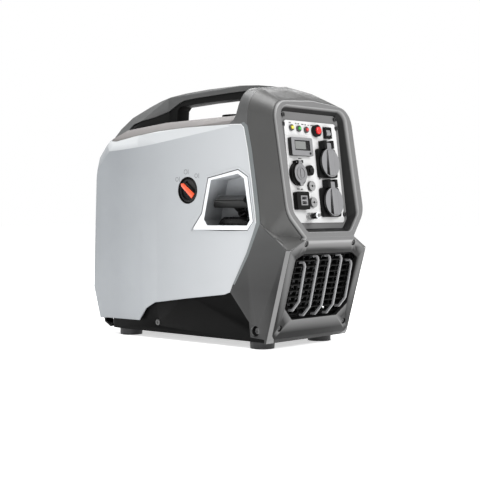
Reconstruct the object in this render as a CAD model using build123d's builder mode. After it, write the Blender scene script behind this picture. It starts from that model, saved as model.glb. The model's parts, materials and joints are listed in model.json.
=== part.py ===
"""Portable inverter generator, 504 x 222 x 460 mm.

Frame: +X points to the control panel end, -Y to the side with the recoil starter and engine switch, +Z up.
The origin is on the floor under the middle of the overall box. Millimetres.
"""
import os
from math import atan2, cos, degrees, radians, sin, tan

from build123d import *

os.makedirs("parts", exist_ok=True)

# ---------------------------------------------------------------- driving dimensions
LENGTH, WIDTH, HEIGHT = 504.0, 222.0, 460.0
HALF_L, HALF_W = LENGTH / 2, WIDTH / 2
SIDE_Y = 110.0  # the silver side panels sit 1 mm inside the front frame
WALL = 2.6  # moulded shell thickness
GAP = 0.6  # joint line between two shells
CLEAR = 0.4  # gap between an inner piece and its neighbour
FOOT_H, FOOT_R = 12.0, 21.5
FEET = [(165.0, 79.0), (165.0, -79.0), (-164.0, 79.0), (-164.0, -79.0)]

TOE_X, TOE_Z = 207.0, 19.0  # foot of the leaning grille face
CHIN_X, CHIN_Z = 252.0, 184.0  # and its top
FRONT_LEAN = degrees(atan2(CHIN_X - TOE_X, CHIN_Z - TOE_Z))
PANEL_LEAN = 7.2  # the control faceplate leans back
BEZEL_LEAN = 9.7  # the bezel round it leans back further
PLATE_X, PLATE_Z = 216.3, 300.0  # a point on the faceplate's front
BEZEL_X = 232.3  # the bezel's front at the same height
HOOD_X, HOOD_Z = 182.0, 215.0  # a point on the hood's rear edge
BEZEL_LIP = 6.0
PLATE_HALF, PLATE_LOW, PLATE_TOP = 72.0, 213.7, 387.5
PLATE_T = 1.6
WINDOW_HALF, WINDOW_Z = 68.2, (218.0, 383.0)  # window in the recess floor behind the faceplate

AC_Y, AC_Z, AC_FLANGE, AC_LID_R = 31.0, (316.0, 248.4), 50.8, 25.0
DC_Y, DC_Z, DC_R = -51.0, 296.0, 20.0
METER_Y, METER_Z = -38.0, 342.0
USB_Y, USB_Z = -50.0, 250.5
BREAKER_Y, BREAKER_Z = -18.5, 302.5
RESET_Y, RESET_Z = 11.0, 372.0
ECO_Y, ECO_Z = 43.0, 370.0
JACKS = [(-17.0, 276.0), (-16.0, 248.0)]
LEDS = [(-54.6, 374.6), (-35.2, 373.7), (-14.8, 372.8)]
GROUND_Y, GROUND_Z = -29.0, 224.0

KNOB_X, KNOB_Z, KNOB_R = 16.8, 270.4, 21.8
GRIP_X, GRIP_Y, GRIP_Z = 111.5, -95.0, 250.0
GRIP_TILT = 50.0  # the T-bar is turned up a little more than the rope, towards the hand
PULL = 35.0  # the starter rope leaves its guide this far above level
POCKET_Y = -66.0  # floor of the recoil pocket
REEL_R = 32.0  # radius of the rope's centre line on the reel
CRANK_Z = GRIP_Z + GRIP_Y * tan(radians(PULL)) - REEL_R / cos(radians(PULL))
CAP_X, CAP_Y, CAP_R, CAP_Z, CAP_H = -10.0, 56.0, 31.5, 400.5, 14.5

BODY_PROFILE = [
    (196, 12), (-201, 12), (-218, 21), (-252, 130), (-240.5, 236), (-224, 336),
    (-196, 367), (-162, 386), (-60, 395), (196, 398),
]
PANEL_OUTLINE = [
    (-275, 25), (-197, 31), (-109.5, 32), (-91.5, 55), (-68.5, 67), (9.5, 78), (104.5, 90),
    (118.5, 95), (124.5, 108), (155.5, 162), (169.5, 194), (177.5, 214), (175.5, 233), (169.5, 277),
    (159.5, 336), (150.5, 375), (143.5, 381), (112.5, 382), (14.5, 382), (-63.5, 379), (-130.5, 372),
    (-176.5, 365), (-190.3, 366), (-190.3, 400), (-275, 400),
]
PARTING = [
    (300, 169), (241, 169), (234.5, 179.5), (224.5, 186), (209.5, 194), (197.5, 203), (190.5, 211),
    (184.5, 220), (180.5, 245), (173.5, 277.5), (165.5, 319), (158.5, 358), (159.5, 397), (160, 428),
    (162, 470), (300, 470),
]
POCKET_OUTLINE = [
    (57, 219), (65, 208.5), (158, 209), (164.5, 218.5), (151, 289), (137.3, 297.6), (74, 288),
]
TRIM_OUTLINE = [
    (31.7, 200.8), (31.7, 204), (53, 229.7), (67.9, 290.5), (137.3, 303.4), (158.7, 291.2), (170.9, 216),
    (158.2, 201.5),
]
HOOD_HALF = [(98, 150), (111, 168), (111, 441), (0, 452)]
BEZEL_HALF = [(64, 188), (105, 232), (105, 415), (0, 422)]
LOWER_CORNER = 40.0
CORNER = (Align.CENTER, Align.CENTER, Align.MIN)


# ---------------------------------------------------------------- planes
def leaning(x, z, lean, rise=0.0):
    """Plane through (x, 0, z) leaning back by an angle; local x is +Y, local y runs up it."""
    normal = (cos(radians(lean)), 0, sin(radians(lean)))
    return Plane(origin=(x, 0, z), x_dir=(0, 1, 0), z_dir=normal).offset(rise)


def panel(rise=0.0):
    return leaning(PLATE_X, PLATE_Z, PANEL_LEAN, rise)


def bezel(rise=0.0):
    return leaning(BEZEL_X, PLATE_Z, BEZEL_LEAN, rise)


def lower(rise=0.0):
    """Plane of the grille face with its origin at the toe."""
    return leaning(TOE_X, TOE_Z, -FRONT_LEAN, rise)


def up_panel(z):
    return (z - PLATE_Z) / cos(radians(PANEL_LEAN))


def hinge_line(y, up, rise):
    """Plane across a hinge pin that runs along Y at a place on the faceplate."""
    return Plane(origin=panel(rise).from_local_coords((y, up)), z_dir=(0, 1, 0))


def up_bezel(z):
    return (z - PLATE_Z) / cos(radians(BEZEL_LEAN))


def up_hood(z):
    return (z - HOOD_Z) / cos(radians(PANEL_LEAN))


def up_lower(z):
    return (z - TOE_Z) / cos(radians(FRONT_LEAN))


# ---------------------------------------------------------------- solids to cut with
def prism(points, y0, y1):
    """A side-view (x, z) outline carried across from y0 to y1."""
    with BuildPart() as body:
        with BuildSketch(Plane.XZ.offset(-y1)):
            with BuildLine():
                Polyline(*points, close=True)
            make_face()
        extrude(amount=y1 - y0)
    return body.part


def beyond(plane):
    """Everything on the outer side of a plane."""
    with BuildPart(plane) as body:
        Box(1600, 1600, 500, align=CORNER)
    return body.part


def flank(a, b, c, side, inset):
    """What a plane through three points of the -Y side cuts away, on either side of the body."""
    first, second, third = [Vector(x, y * side, z) for x, y, z in (a, b, c)]
    normal = (second - first).cross(third - first).normalized()
    if normal.Y * side < 0:
        normal = normal * -1
    return beyond(Plane(origin=first - normal * inset, z_dir=normal))


# ---------------------------------------------------------------- envelopes
def tub(inset=0.0):
    """Rear body of the machine, or its inside when inset by the wall thickness."""
    with BuildPart() as body:
        with BuildSketch(Plane.XZ):
            with BuildLine():
                Polyline(*BODY_PROFILE, close=True)
            make_face()
            if inset:
                offset(amount=-inset, kind=Kind.INTERSECTION)
        extrude(amount=HALF_W, both=True)
        with BuildSketch(Plane.XY):
            for side in (-1, 1):
                with BuildLine():
                    flat_end = (-60, side * (SIDE_Y - inset))
                    rear_corner = (-260, side * (106.5 - inset))
                    Polyline(flat_end, (200, side * (SIDE_Y - inset)), (200, 0), (-260, 0), rear_corner)
                    ThreePointArc(rear_corner, (-160, side * (109 - inset)), flat_end)
                make_face()
        extrude(amount=HEIGHT, mode=Mode.INTERSECT)
        for side in (-1, 1):
            add(flank((0, 110, 364), (-188, 110, 341), (0, 105.5, 381), side, inset), mode=Mode.SUBTRACT)
            add(flank((0, 105.5, 381), (-176, 105.5, 367), (0, 91.5, 395), side, inset), mode=Mode.SUBTRACT)
            add(flank((-208, 110, 318), (-188, 110, 341), (-224, 104.5, 336), side, inset), mode=Mode.SUBTRACT)
            add(flank((-240, 101, 240), (-232, 108, 240), (-244, 101, 140), side, inset), mode=Mode.SUBTRACT)
    return body.part


def outline(half, plane, up, inset, corner):
    """Rounded outline in a leaning plane, with its two upper corners to a given radius."""
    points = half + [(-y, z) for y, z in reversed(half) if y > 0]
    with BuildSketch(plane) as face:
        with BuildLine():
            Polyline(*[(y, up(z)) for y, z in points], close=True)
        make_face()
        fillet(face.vertices().sort_by(Axis.Y)[-3:-1], corner)
        fillet(face.vertices().sort_by(Axis.Y)[2:4], LOWER_CORNER)
        if inset:
            offset(amount=-inset, kind=Kind.INTERSECTION)
    return face.sketch


def front_block(inset=0.0):
    """The front end: the leaning snout with its bezel, and the full-width block below it."""
    half_w = HALF_W - inset
    with BuildPart() as body:
        rear = outline(HOOD_HALF, leaning(HOOD_X, HOOD_Z, PANEL_LEAN), up_hood, inset, 46)
        front = outline(BEZEL_HALF, bezel(-inset), up_bezel, inset, 32)
        loft(sections=[rear, front], ruled=True)
        extrude(rear, amount=-120, dir=(1, 0, 0))
    with BuildPart() as block:
        with BuildSketch(Plane.XZ):
            with BuildLine():
                Polyline((60, 12), (TOE_X - 7, 12), (TOE_X, TOE_Z), (CHIN_X, CHIN_Z), (CHIN_X - 0.8, 190),
                         (CHIN_X - 8, 200), (HOOD_X, 215), (60, 215), close=True)
            make_face()
            if inset:
                offset(amount=-inset, kind=Kind.INTERSECTION)
        extrude(amount=half_w, both=True)
        front_edges = block.edges().filter_by(lambda e: abs(abs(e.center().Y) - half_w) < 0.01)
        chamfer(front_edges.filter_by(lambda e: e.center().X > TOE_X + 5 and e.center().Z < CHIN_Z - 20), 4.6)
        for side in (-1, 1):
            add(flank((188, 111, 211), (247.5, 111, 168), (250.5, 68, 188), side, inset), mode=Mode.SUBTRACT)
    return body.part + block.part


tub_shell = tub(0) - tub(WALL)
front_outer = front_block(0)
front_shell = front_outer - front_block(WALL)


# ---------------------------------------------------------------- outer shells
FRAME_REAR = [(137.6, 470), (138, 421), (136.5, 408), (133, 396), (126.5, 388), (117, 382.7)]
FRAME_OUTLINE = FRAME_REAR + [
    (117.5, 382.6), (144, 381.7), (151.2, 375.3), (160.2, 336), (170.2, 277.1),
    (176.2, 233), (178.2, 213.8), (170.2, 193.7), (156.2, 161.7), (125.2, 107.6), (119.4, 95), (125, 89),
    (163, 46), (166, 21), (196.6, 19), (196.6, 5), (300, 5), (300, 470),
]
TOP_OUTLINE = [
    (-189.7, 366.6), (-176.4, 365.6), (-130.4, 372.7), (-63.5, 379.7), (14.5, 382.7), (116.2, 382.7),
    (126, 388.6), (132.4, 396.3), (135.8, 408), (135.8, 420), (-189.7, 420),
]
REAR_OUTLINE = [
    (-275, 5), (-202.5, 5), (-202.5, 60), (-150, 300), (-190.3, 350), (-190.3, 400), (-275, 400),
]
REAR_HALF = 98.4
RECESS_HALF = [(60, 197), (93, 232), (93, 413)]
FLOOR_HALF = [(66, 204), (81, 220), (81, 402)]
FLOOR_DROP = PLATE_T + 0.2
GRILLE_HALF = [(62, 50), (87, 70), (87, 153), (67, 162)]


def mirrored(half, up):
    """A right-hand list of (y, z) points and its mirror image, ready to draw in a leaning plane."""
    return [(y, up(z)) for y, z in half] + [(-y, up(z)) for y, z in reversed(half)]


def recess(spare=0.0):
    """The hollow in front of the control faceplate, from the bezel's mouth down to its floor."""
    with BuildPart() as body:
        with BuildSketch(bezel(1)) as mouth:
            with BuildLine():
                Polyline(*mirrored(RECESS_HALF, up_bezel), close=True)
            make_face()
            fillet(mouth.vertices().sort_by(Axis.Y)[:4], 18)
            fillet(mouth.vertices().sort_by(Axis.Y)[-2:], 22)
            if spare:
                offset(amount=spare)
        with BuildSketch(panel(-FLOOR_DROP - spare)) as floor:
            with BuildLine():
                Polyline(*mirrored(FLOOR_HALF, up_panel), close=True)
            make_face()
            fillet(floor.vertices().sort_by(Axis.Y)[:4], 8)
            fillet(floor.vertices().sort_by(Axis.Y)[-2:], 14)
            if spare:
                offset(amount=spare)
        loft(ruled=True)
    return body.part


def front_panel_space(spare=0.0):
    """Space of the light front moulding: the bezel's front slab and the grille face's slab."""
    with BuildPart() as body:
        add(beyond(bezel(-BEZEL_LIP - spare)))
        add(beyond(Plane(origin=(0, 0, 186 - spare), z_dir=(0, 0, 1))), mode=Mode.INTERSECT)
    half = [(88 + spare, 9 - spare), (104.8 + spare, 26), (104.8 + spare, 166), (68 + spare, 187)]
    with BuildPart() as face:
        with BuildSketch(lower(-BEZEL_LIP - spare)):
            with BuildLine():
                Polyline(*mirrored(half, up_lower), close=True)
            make_face()
        extrude(amount=30)
    return body.part + face.part


def side_panel(y0, y1):
    """One silver side panel with its plain outline."""
    with BuildPart() as body:
        add(tub_shell)
        add(prism(PANEL_OUTLINE, y0, y1), mode=Mode.INTERSECT)
    return body.part


with BuildPart() as left_side_panel:
    add(side_panel(-130, -REAR_HALF - GAP))
    with BuildSketch(Plane.XZ.offset(90)):
        with Locations((KNOB_X, KNOB_Z)):
            Circle(KNOB_R + 2.2)
    extrude(amount=40, mode=Mode.SUBTRACT)
    with BuildSketch(Plane.XZ.offset(90)):
        with BuildLine():
            Polyline(*POCKET_OUTLINE, close=True)
        make_face()
        offset(amount=2.9, kind=Kind.INTERSECTION)
    extrude(amount=40, mode=Mode.SUBTRACT)
left_side_panel.part.label = "left_side_panel"
export_step(left_side_panel.part, "parts/left_side_panel.step")

SERVICE_OUTLINE = [(-20, 130), (120, 130), (138, 160), (130, 262), (-20, 262)]

with BuildPart() as right_side_panel:
    add(side_panel(REAR_HALF + GAP, 130))
    add(prism(SERVICE_OUTLINE, 90, 130), mode=Mode.SUBTRACT)
    with BuildSketch(Plane.XZ.offset(-130)):
        with GridLocations(0, 14, 1, 8):
            with Locations((-120, 200)):
                SlotOverall(78, 6)
    extrude(amount=40, mode=Mode.SUBTRACT)
right_side_panel.part.label = "right_side_panel"
export_step(right_side_panel.part, "parts/right_side_panel.step")

with BuildPart() as service_cover:
    with BuildSketch(Plane.XZ.offset(-SIDE_Y + WALL)):
        with BuildLine():
            Polyline(*SERVICE_OUTLINE, close=True)
        make_face()
        offset(amount=-GAP, kind=Kind.INTERSECTION)
    extrude(amount=-WALL)
    with BuildSketch(Plane.XZ.offset(-SIDE_Y)):
        with Locations((55, 245)):
            Circle(5.5)
    extrude(amount=1.6, mode=Mode.SUBTRACT)
service_cover.part.label = "service_cover"
export_step(service_cover.part, "parts/service_cover.step")

EXHAUST_Y, EXHAUST_Z, EXHAUST_R = -34.0, 178.0, 13.0

with BuildPart() as rear_cover:
    add(tub_shell)
    add(prism(REAR_OUTLINE, -REAR_HALF, REAR_HALF), mode=Mode.INTERSECT)
    with BuildSketch(Plane.YZ.offset(-260)):
        with Locations((EXHAUST_Y, EXHAUST_Z)):
            Circle(EXHAUST_R + 4)
    extrude(amount=30, mode=Mode.SUBTRACT)
    with BuildSketch(Plane.YZ.offset(-260)):
        with Locations((0, 88), (0, 36)):
            with GridLocations(56, 11, 3, 5):
                Rectangle(44, 5.5)
        with Locations((0, 10)):
            Rectangle(200, 20, mode=Mode.SUBTRACT)
    extrude(amount=60, mode=Mode.SUBTRACT)
rear_cover.part.label = "rear_cover"
export_step(rear_cover.part, "parts/rear_cover.step")

with BuildPart() as top_cover:
    add(tub_shell)
    add(prism(TOP_OUTLINE, -130, 130), mode=Mode.INTERSECT)
    with BuildSketch(Plane.XY.offset(380)):
        with Locations((CAP_X, CAP_Y)):
            Circle(25.5)
    extrude(amount=40, mode=Mode.SUBTRACT)
top_cover.part.label = "top_cover"
export_step(top_cover.part, "parts/top_cover.step")

with BuildPart() as front_frame:
    add(front_shell)
    add(prism(FRAME_OUTLINE, -130, 130), mode=Mode.INTERSECT)
    add(prism([(x - GAP, z - GAP) for x, z in PARTING], -130, 130), mode=Mode.SUBTRACT)
    add(front_panel_space(GAP), mode=Mode.SUBTRACT)
    rear_wall = FRAME_REAR[:-1] + [(128, 386), (136, 394.5), (139.5, 407.5), (140.8, 421), (140.4, 470)]
    add(front_outer & prism(rear_wall, -130, 130))
    with BuildSketch(Plane.XZ.offset(HALF_W)):
        with Locations((176.5, 32)):
            Circle(9)
    extrude(amount=-WIDTH, mode=Mode.SUBTRACT)
front_frame.part.label = "front_frame"
export_step(front_frame.part, "parts/front_frame.step")

with BuildPart() as hood:
    add(front_shell)
    add(prism(PARTING, -130, 130), mode=Mode.INTERSECT)
    add(front_panel_space(GAP), mode=Mode.SUBTRACT)
    add(recess(WALL + CLEAR), mode=Mode.SUBTRACT)
hood.part.label = "hood"
export_step(hood.part, "parts/hood.step")

FRONT_SCREWS = [(66, 179), (-66, 179), (89, 37), (-89, 37)]
PLATE_SCREWS = [(75, 380.5), (-75, 380.5), (74.5, 228), (-74.5, 228), (72, 396), (-72, 396)]

with BuildPart() as front_panel:
    add(front_outer - front_block(BEZEL_LIP))
    add(front_panel_space(), mode=Mode.INTERSECT)
    add(recess(WALL) & front_outer)
    add(recess(), mode=Mode.SUBTRACT)
    with BuildSketch(lower(-40)) as grille_opening:
        with BuildLine():
            Polyline(*mirrored(GRILLE_HALF, up_lower), close=True)
        make_face()
        fillet(grille_opening.vertices(), 5)
    extrude(amount=60, mode=Mode.SUBTRACT)
    with BuildSketch(lower(-4.4)):
        with Locations(*[(y, up_lower(z)) for y, z in FRONT_SCREWS]):
            Circle(5.6)
    extrude(amount=20, mode=Mode.SUBTRACT)
    with BuildSketch(panel(-FLOOR_DROP - WALL - 1)):
        with Locations((0, up_panel(sum(WINDOW_Z) / 2))):
            RectangleRounded(2 * WINDOW_HALF, up_panel(WINDOW_Z[1]) - up_panel(WINDOW_Z[0]), 6)
    extrude(amount=WALL + 3, mode=Mode.SUBTRACT)
front_panel.part.label = "front_panel"
export_step(front_panel.part, "parts/front_panel.step")

TRAY_OUTLINE = [
    (-205, 5), (-205, 38), (-113, 40), (-95, 63), (-72, 75), (7, 86), (101, 98), (112, 99), (160, 52), (180, 32),
    (200, 26), (200, 5),
]

with BuildPart() as base_tray:
    with BuildSketch(Plane.XY.offset(FOOT_H)):
        with Locations((-1.5, 0)):
            RectangleRounded(395, 200, 14)
    with BuildSketch(Plane.XY.offset(112)):
        with Locations((-1.5, 0)):
            RectangleRounded(395, 212, 14)
    loft()
    with BuildSketch(Plane.XY.offset(FOOT_H + 3)):
        with Locations((-1.5, 0)):
            RectangleRounded(389, 194.4, 11)
    with BuildSketch(Plane.XY.offset(114)):
        with Locations((-1.5, 0)):
            RectangleRounded(389, 206.2, 11)
    loft(mode=Mode.SUBTRACT)
    add(prism(TRAY_OUTLINE, -120, 120), mode=Mode.INTERSECT)
    with BuildSketch(Plane.XZ.offset(120)):
        with Locations((-68.5, 30)):
            Circle(6.5)
        with Locations((176.5, 32)):
            Circle(3)
    extrude(amount=-240, mode=Mode.SUBTRACT)
base_tray.part.label = "base_tray"
export_step(base_tray.part, "parts/base_tray.step")

# ---------------------------------------------------------------- carrying handle
HANDLE_TOP = [
    (137, 452.5), (104, 457), (58, 460), (-23, 459), (-82, 455.5), (-118, 451), (-140, 444.5), (-163, 434),
    (-198, 414), (-213, 392), (-219, 366), (-222, 344),
]
HANDLE_SEAM = [
    (-198, 366), (-184, 400), (-146, 413), (-122, 425), (-98, 437), (-82, 442.5), (-49, 445), (32, 448.5),
    (73, 449.5), (137, 446),
]
HANDLE_UNDER = [
    (137, 437), (22, 436), (-23, 435), (-75, 432.5), (-95, 431.5), (-102, 424), (-103, 409), (-103, 380),
    (-196, 360),
]
SPREAD = [(140, 18), (-124, 18), (-158, 44), (-196, 76), (-240, 84)]


def handle_space(spare=0.0):
    """Plan shape of the handle, which widens into the rear of the machine, under sloping flanks."""
    with BuildPart() as body:
        with BuildSketch(Plane.XY.offset(340)):
            half = [(x, y - spare) for x, y in SPREAD]
            with BuildLine():
                Polyline(*half, *[(x, -y) for x, y in reversed(half)], close=True)
            make_face()
        extrude(amount=140)
        for side in (-1, 1):
            add(flank((-112, 18, 450), (-206, 44, 412), (-186, 76, 372), side, spare), mode=Mode.SUBTRACT)
    return body.part


with BuildPart() as handle_shell:
    add(prism(HANDLE_TOP + HANDLE_SEAM, -90, 90))
    add(handle_space(), mode=Mode.INTERSECT)
    add(tub(-GAP), mode=Mode.SUBTRACT)
handle_shell.part.label = "handle_shell"
export_step(handle_shell.part, "parts/handle_shell.step")

with BuildPart() as handle_grip:
    add(prism([(x, z - 0.4) for x, z in HANDLE_SEAM] + HANDLE_UNDER, -90, 90))
    add(handle_space(2.2), mode=Mode.INTERSECT)
    add(tub(-GAP), mode=Mode.SUBTRACT)
handle_grip.part.label = "handle_grip"
export_step(handle_grip.part, "parts/handle_grip.step")

# ---------------------------------------------------------------- feet and fasteners
with BuildPart() as rubber_feet:
    with Locations(*[(x, y, 0) for x, y in FEET]):
        Cone(FOOT_R - 0.8, FOOT_R, FOOT_H, align=CORNER)
    with Locations(*[(x, y, -1) for x, y in FEET]):
        Cylinder(8, 7, align=CORNER, mode=Mode.SUBTRACT)
    with Locations(*[(x, y, FOOT_H + 3.2) for x in (-46, 36) for y in (-62, 62)]):
        Cylinder(12, 30.6, align=CORNER)
rubber_feet.part.label = "rubber_feet"
export_step(rubber_feet.part, "parts/rubber_feet.step")


def screws(plane, places, radius, height):
    """Cross-recessed screw heads standing on a plane."""
    with BuildPart() as body:
        with BuildSketch(plane):
            with Locations(*places):
                Circle(radius)
        extrude(amount=height)
        with BuildSketch(plane.offset(height - 1.1)):
            with Locations(*places):
                Rectangle(radius * 1.2, radius * 0.3)
                Rectangle(radius * 0.3, radius * 1.2)
        extrude(amount=3, mode=Mode.SUBTRACT)
    return body.part


SIDE_SCREWS = [(-68.5, 30, 101.2), (176.5, 32, 104.5)]

with BuildPart() as case_screws:
    add(screws(panel(-FLOOR_DROP + 0.1), [(y, up_panel(z)) for y, z in PLATE_SCREWS], 3.6, 3.2))
    add(screws(lower(-4.3), [(y, up_lower(z)) for y, z in FRONT_SCREWS], 3.6, 2.4))
    for x, z, depth in SIDE_SCREWS:
        for side in (-1, 1):
            seat = Plane(origin=(x, side * (depth - 2.6), z), x_dir=(-side, 0, 0), z_dir=(0, side, 0))
            add(screws(seat, [(0, 0)], 5.4, 3))
    with Locations(*[(x, y, 2.5) for x, y in FEET]):
        Cylinder(6.5, 3.3, align=CORNER)
case_screws.part.label = "case_screws"
export_step(case_screws.part, "parts/case_screws.step")

# ---------------------------------------------------------------- grille
FIN_T, FIN_DEPTH = 3.4, 4.0


def grille_x(z):
    """Where the leaning grille face is at a height."""
    return TOE_X + (z - TOE_Z) * tan(radians(FRONT_LEAN))


with BuildPart() as grille_fins:
    for index in range(5):
        y = 32.5 * (index - 2)
        foot, head = (64, 151) if abs(y) > 60 else (54, 161)
        top_x, low_x = grille_x(head), grille_x(foot)
        front = [(top_x + 0.3, head - 1.5), (top_x + 3.5, head - 4), (top_x + 5, head - 10),
                 (grille_x(foot + 18) + 11, foot + 18), (low_x + 0.5, foot + 0.5)]
        inside = [(x - FIN_DEPTH, z) for x, z in reversed(front[1:-1])]
        top_leg = [(top_x - FIN_DEPTH, head - 5), (top_x - 9, head - 5.5), (top_x - 9, head - 1.5)]
        low_leg = [(low_x - 9, foot + 0.5), (low_x - 9, foot + 4), (low_x - 1, foot + 4.5)]
        add(prism(front + low_leg + inside + top_leg, y - FIN_T / 2, y + FIN_T / 2))
grille_fins.part.label = "grille_fins"
export_step(grille_fins.part, "parts/grille_fins.step")

SLAT_PITCH, RIB_PITCH = 10.2, 16.3

with BuildPart() as louvre:
    with BuildSketch(lower(-22)):
        with Locations((0, up_lower(106))):
            Rectangle(184, 124)
            Rectangle(172, 112, mode=Mode.SUBTRACT)
    extrude(amount=9)
    for index in range(11):
        with BuildSketch(lower(-22)):
            with Locations((0, up_lower(55 + SLAT_PITCH * index))):
                Rectangle(176, 2.2)
        extrude(amount=11.5)
    for index in range(11):
        with BuildSketch(lower(-20)):
            with Locations((RIB_PITCH * (index - 5), up_lower(106))):
                Rectangle(1.8, 114)
        extrude(amount=7)
louvre.part.label = "louvre"
export_step(louvre.part, "parts/louvre.step")

# ---------------------------------------------------------------- control faceplate and its fittings
CUP_R, WELL_R, WELL_DEPTH = 22.0, 19.5, 17.5
FLANGE_T = 6.0
HINGE_UP, HINGE_RISE, PIN_R = 33.0, 9.6, 1.5

with BuildPart() as faceplate:
    with BuildSketch(panel(-PLATE_T)) as face:
        height = up_panel(PLATE_TOP) - up_panel(PLATE_LOW)
        with Locations((0, up_panel(PLATE_LOW) + height / 2)):
            RectangleRounded(2 * PLATE_HALF, height, 7)
        with Locations(*[(y, up_panel(z)) for y, z in PLATE_SCREWS[:4]]):
            Circle(6, mode=Mode.SUBTRACT)
        with Locations(*[(AC_Y, up_panel(z)) for z in AC_Z]):
            Circle(22.6, mode=Mode.SUBTRACT)
        with Locations((DC_Y, up_panel(DC_Z))):
            Circle(16.6, mode=Mode.SUBTRACT)
        with Locations((METER_Y, up_panel(METER_Z))):
            Rectangle(45, 19, mode=Mode.SUBTRACT)
        with Locations((USB_Y, up_panel(USB_Z))):
            Rectangle(23, 19, mode=Mode.SUBTRACT)
        with Locations((ECO_Y, up_panel(ECO_Z))):
            Rectangle(13.4, 14.4, mode=Mode.SUBTRACT)
        with Locations((BREAKER_Y, up_panel(BREAKER_Z)), (RESET_Y, up_panel(RESET_Z))):
            Circle(7.4, mode=Mode.SUBTRACT)
        with Locations(*[(y, up_panel(z)) for y, z in JACKS + LEDS + [(GROUND_Y, GROUND_Z)]]):
            Circle(4.2, mode=Mode.SUBTRACT)
    extrude(amount=PLATE_T)
faceplate.part.label = "faceplate"
export_step(faceplate.part, "parts/faceplate.step")

with BuildPart() as ac_sockets:
    for z in AC_Z:
        centre = (AC_Y, up_panel(z))
        with BuildSketch(panel(0.1)):
            with Locations(centre):
                RectangleRounded(AC_FLANGE, AC_FLANGE, 5)
        extrude(amount=FLANGE_T)
        with BuildSketch(panel(0.1)):
            with Locations((AC_Y, up_panel(z) + HINGE_UP - 1)):
                Rectangle(27, 14)
        extrude(amount=13.2)
        with BuildSketch(panel(0.1)):
            with Locations(centre):
                Circle(CUP_R)
        extrude(amount=-20)
        with BuildSketch(panel(FLANGE_T + 1)):
            with Locations(centre):
                Circle(WELL_R)
        extrude(amount=-WELL_DEPTH - 1, mode=Mode.SUBTRACT)
        with BuildSketch(panel(-15)):
            with Locations((AC_Y - 9.5, up_panel(z)), (AC_Y + 9.5, up_panel(z))):
                Circle(2.6)
        extrude(amount=10, mode=Mode.SUBTRACT)
        with BuildSketch(panel(FLANGE_T + 0.2)):
            with Locations((AC_Y, up_panel(z) + HINGE_UP)):
                Rectangle(13, 22)
        extrude(amount=12, mode=Mode.SUBTRACT)
        with BuildSketch(hinge_line(AC_Y, up_panel(z) + HINGE_UP, HINGE_RISE)):
            Circle(PIN_R)
        extrude(amount=9.5, both=True, mode=Mode.SUBTRACT)
ac_sockets.part.label = "ac_sockets"
export_step(ac_sockets.part, "parts/ac_sockets.step")


def ac_lid(z):
    """Round sprung lid with a raised centre rib and a hinge knuckle on top."""
    centre = (AC_Y, up_panel(z))
    with BuildPart() as body:
        with BuildSketch(panel(9)):
            with Locations(centre):
                Circle(AC_LID_R)
        extrude(amount=4)
        with BuildSketch(panel(6.6)):
            with Locations(centre):
                Circle(22.6)
                Circle(20.4, mode=Mode.SUBTRACT)
        extrude(amount=3)
        with BuildSketch(panel(13)):
            with Locations((AC_Y, up_panel(z) - 0.5)):
                Rectangle(14, 44)
        extrude(amount=1.5)
        with BuildSketch(panel(HINGE_RISE - 2.6)):
            with Locations((AC_Y, up_panel(z) + HINGE_UP - 6)):
                Rectangle(12, 12)
        extrude(amount=5.6)
        knuckle = hinge_line(AC_Y, up_panel(z) + HINGE_UP, HINGE_RISE)
        with BuildSketch(knuckle):
            Circle(3)
        extrude(amount=6, both=True)
        with BuildSketch(knuckle):
            Circle(PIN_R + 0.05)
        extrude(amount=12, both=True, mode=Mode.SUBTRACT)
    return body.part


for name, z in zip(("ac_lid_upper", "ac_lid_lower"), AC_Z):
    lid = ac_lid(z)
    lid.label = name
    export_step(lid, "parts/" + name + ".step")

DC_HINGE_UP, DC_HINGE_RISE = 19.0, 8.6
STUD_R = 3.0

with BuildPart() as dc_socket:
    with BuildSketch(panel(0.1)):
        with Locations((DC_Y, up_panel(DC_Z))):
            Circle(DC_R)
        with Locations((DC_Y, up_panel(DC_Z) + 17)):
            Rectangle(15, 11)
    extrude(amount=6)
    with BuildSketch(panel(0.1)):
        with Locations(*[(DC_Y + y, up_panel(DC_Z) + DC_HINGE_UP + 1) for y in (-6.2, 6.2)]):
            Rectangle(3, 5)
    extrude(amount=10.6)
    with BuildSketch(panel(0.1)):
        with Locations((DC_Y, up_panel(DC_Z))):
            Circle(16)
    extrude(amount=-24)
    with BuildSketch(panel(7)):
        with Locations((DC_Y, up_panel(DC_Z))):
            Circle(13.5)
    extrude(amount=-27, mode=Mode.SUBTRACT)
    with BuildSketch(hinge_line(DC_Y, up_panel(DC_Z) + DC_HINGE_UP, DC_HINGE_RISE)):
        Circle(1)
    extrude(amount=9, both=True, mode=Mode.SUBTRACT)
dc_socket.part.label = "dc_socket"
export_step(dc_socket.part, "parts/dc_socket.step")

with BuildPart() as dc_lid:
    with BuildSketch(panel(6.4)):
        with Locations((DC_Y, up_panel(DC_Z))):
            Circle(16.5)
        with Locations((DC_Y, up_panel(DC_Z) - 17)):
            RectangleRounded(9, 8, 2)
        with Locations((DC_Y, up_panel(DC_Z) + 15)):
            Rectangle(8.6, 8)
    extrude(amount=3.4)
    with BuildSketch(panel(9.8)):
        with Locations((DC_Y, up_panel(DC_Z))):
            Circle(11)
            Circle(9.4, mode=Mode.SUBTRACT)
            Rectangle(3, 14)
    extrude(amount=0.9)
    knuckle = hinge_line(DC_Y, up_panel(DC_Z) + DC_HINGE_UP, DC_HINGE_RISE)
    with BuildSketch(knuckle):
        Circle(2.2)
    extrude(amount=4.3, both=True)
    with BuildSketch(knuckle):
        Circle(1.05)
    extrude(amount=9, both=True, mode=Mode.SUBTRACT)
dc_lid.part.label = "dc_lid"
export_step(dc_lid.part, "parts/dc_lid.step")

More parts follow.
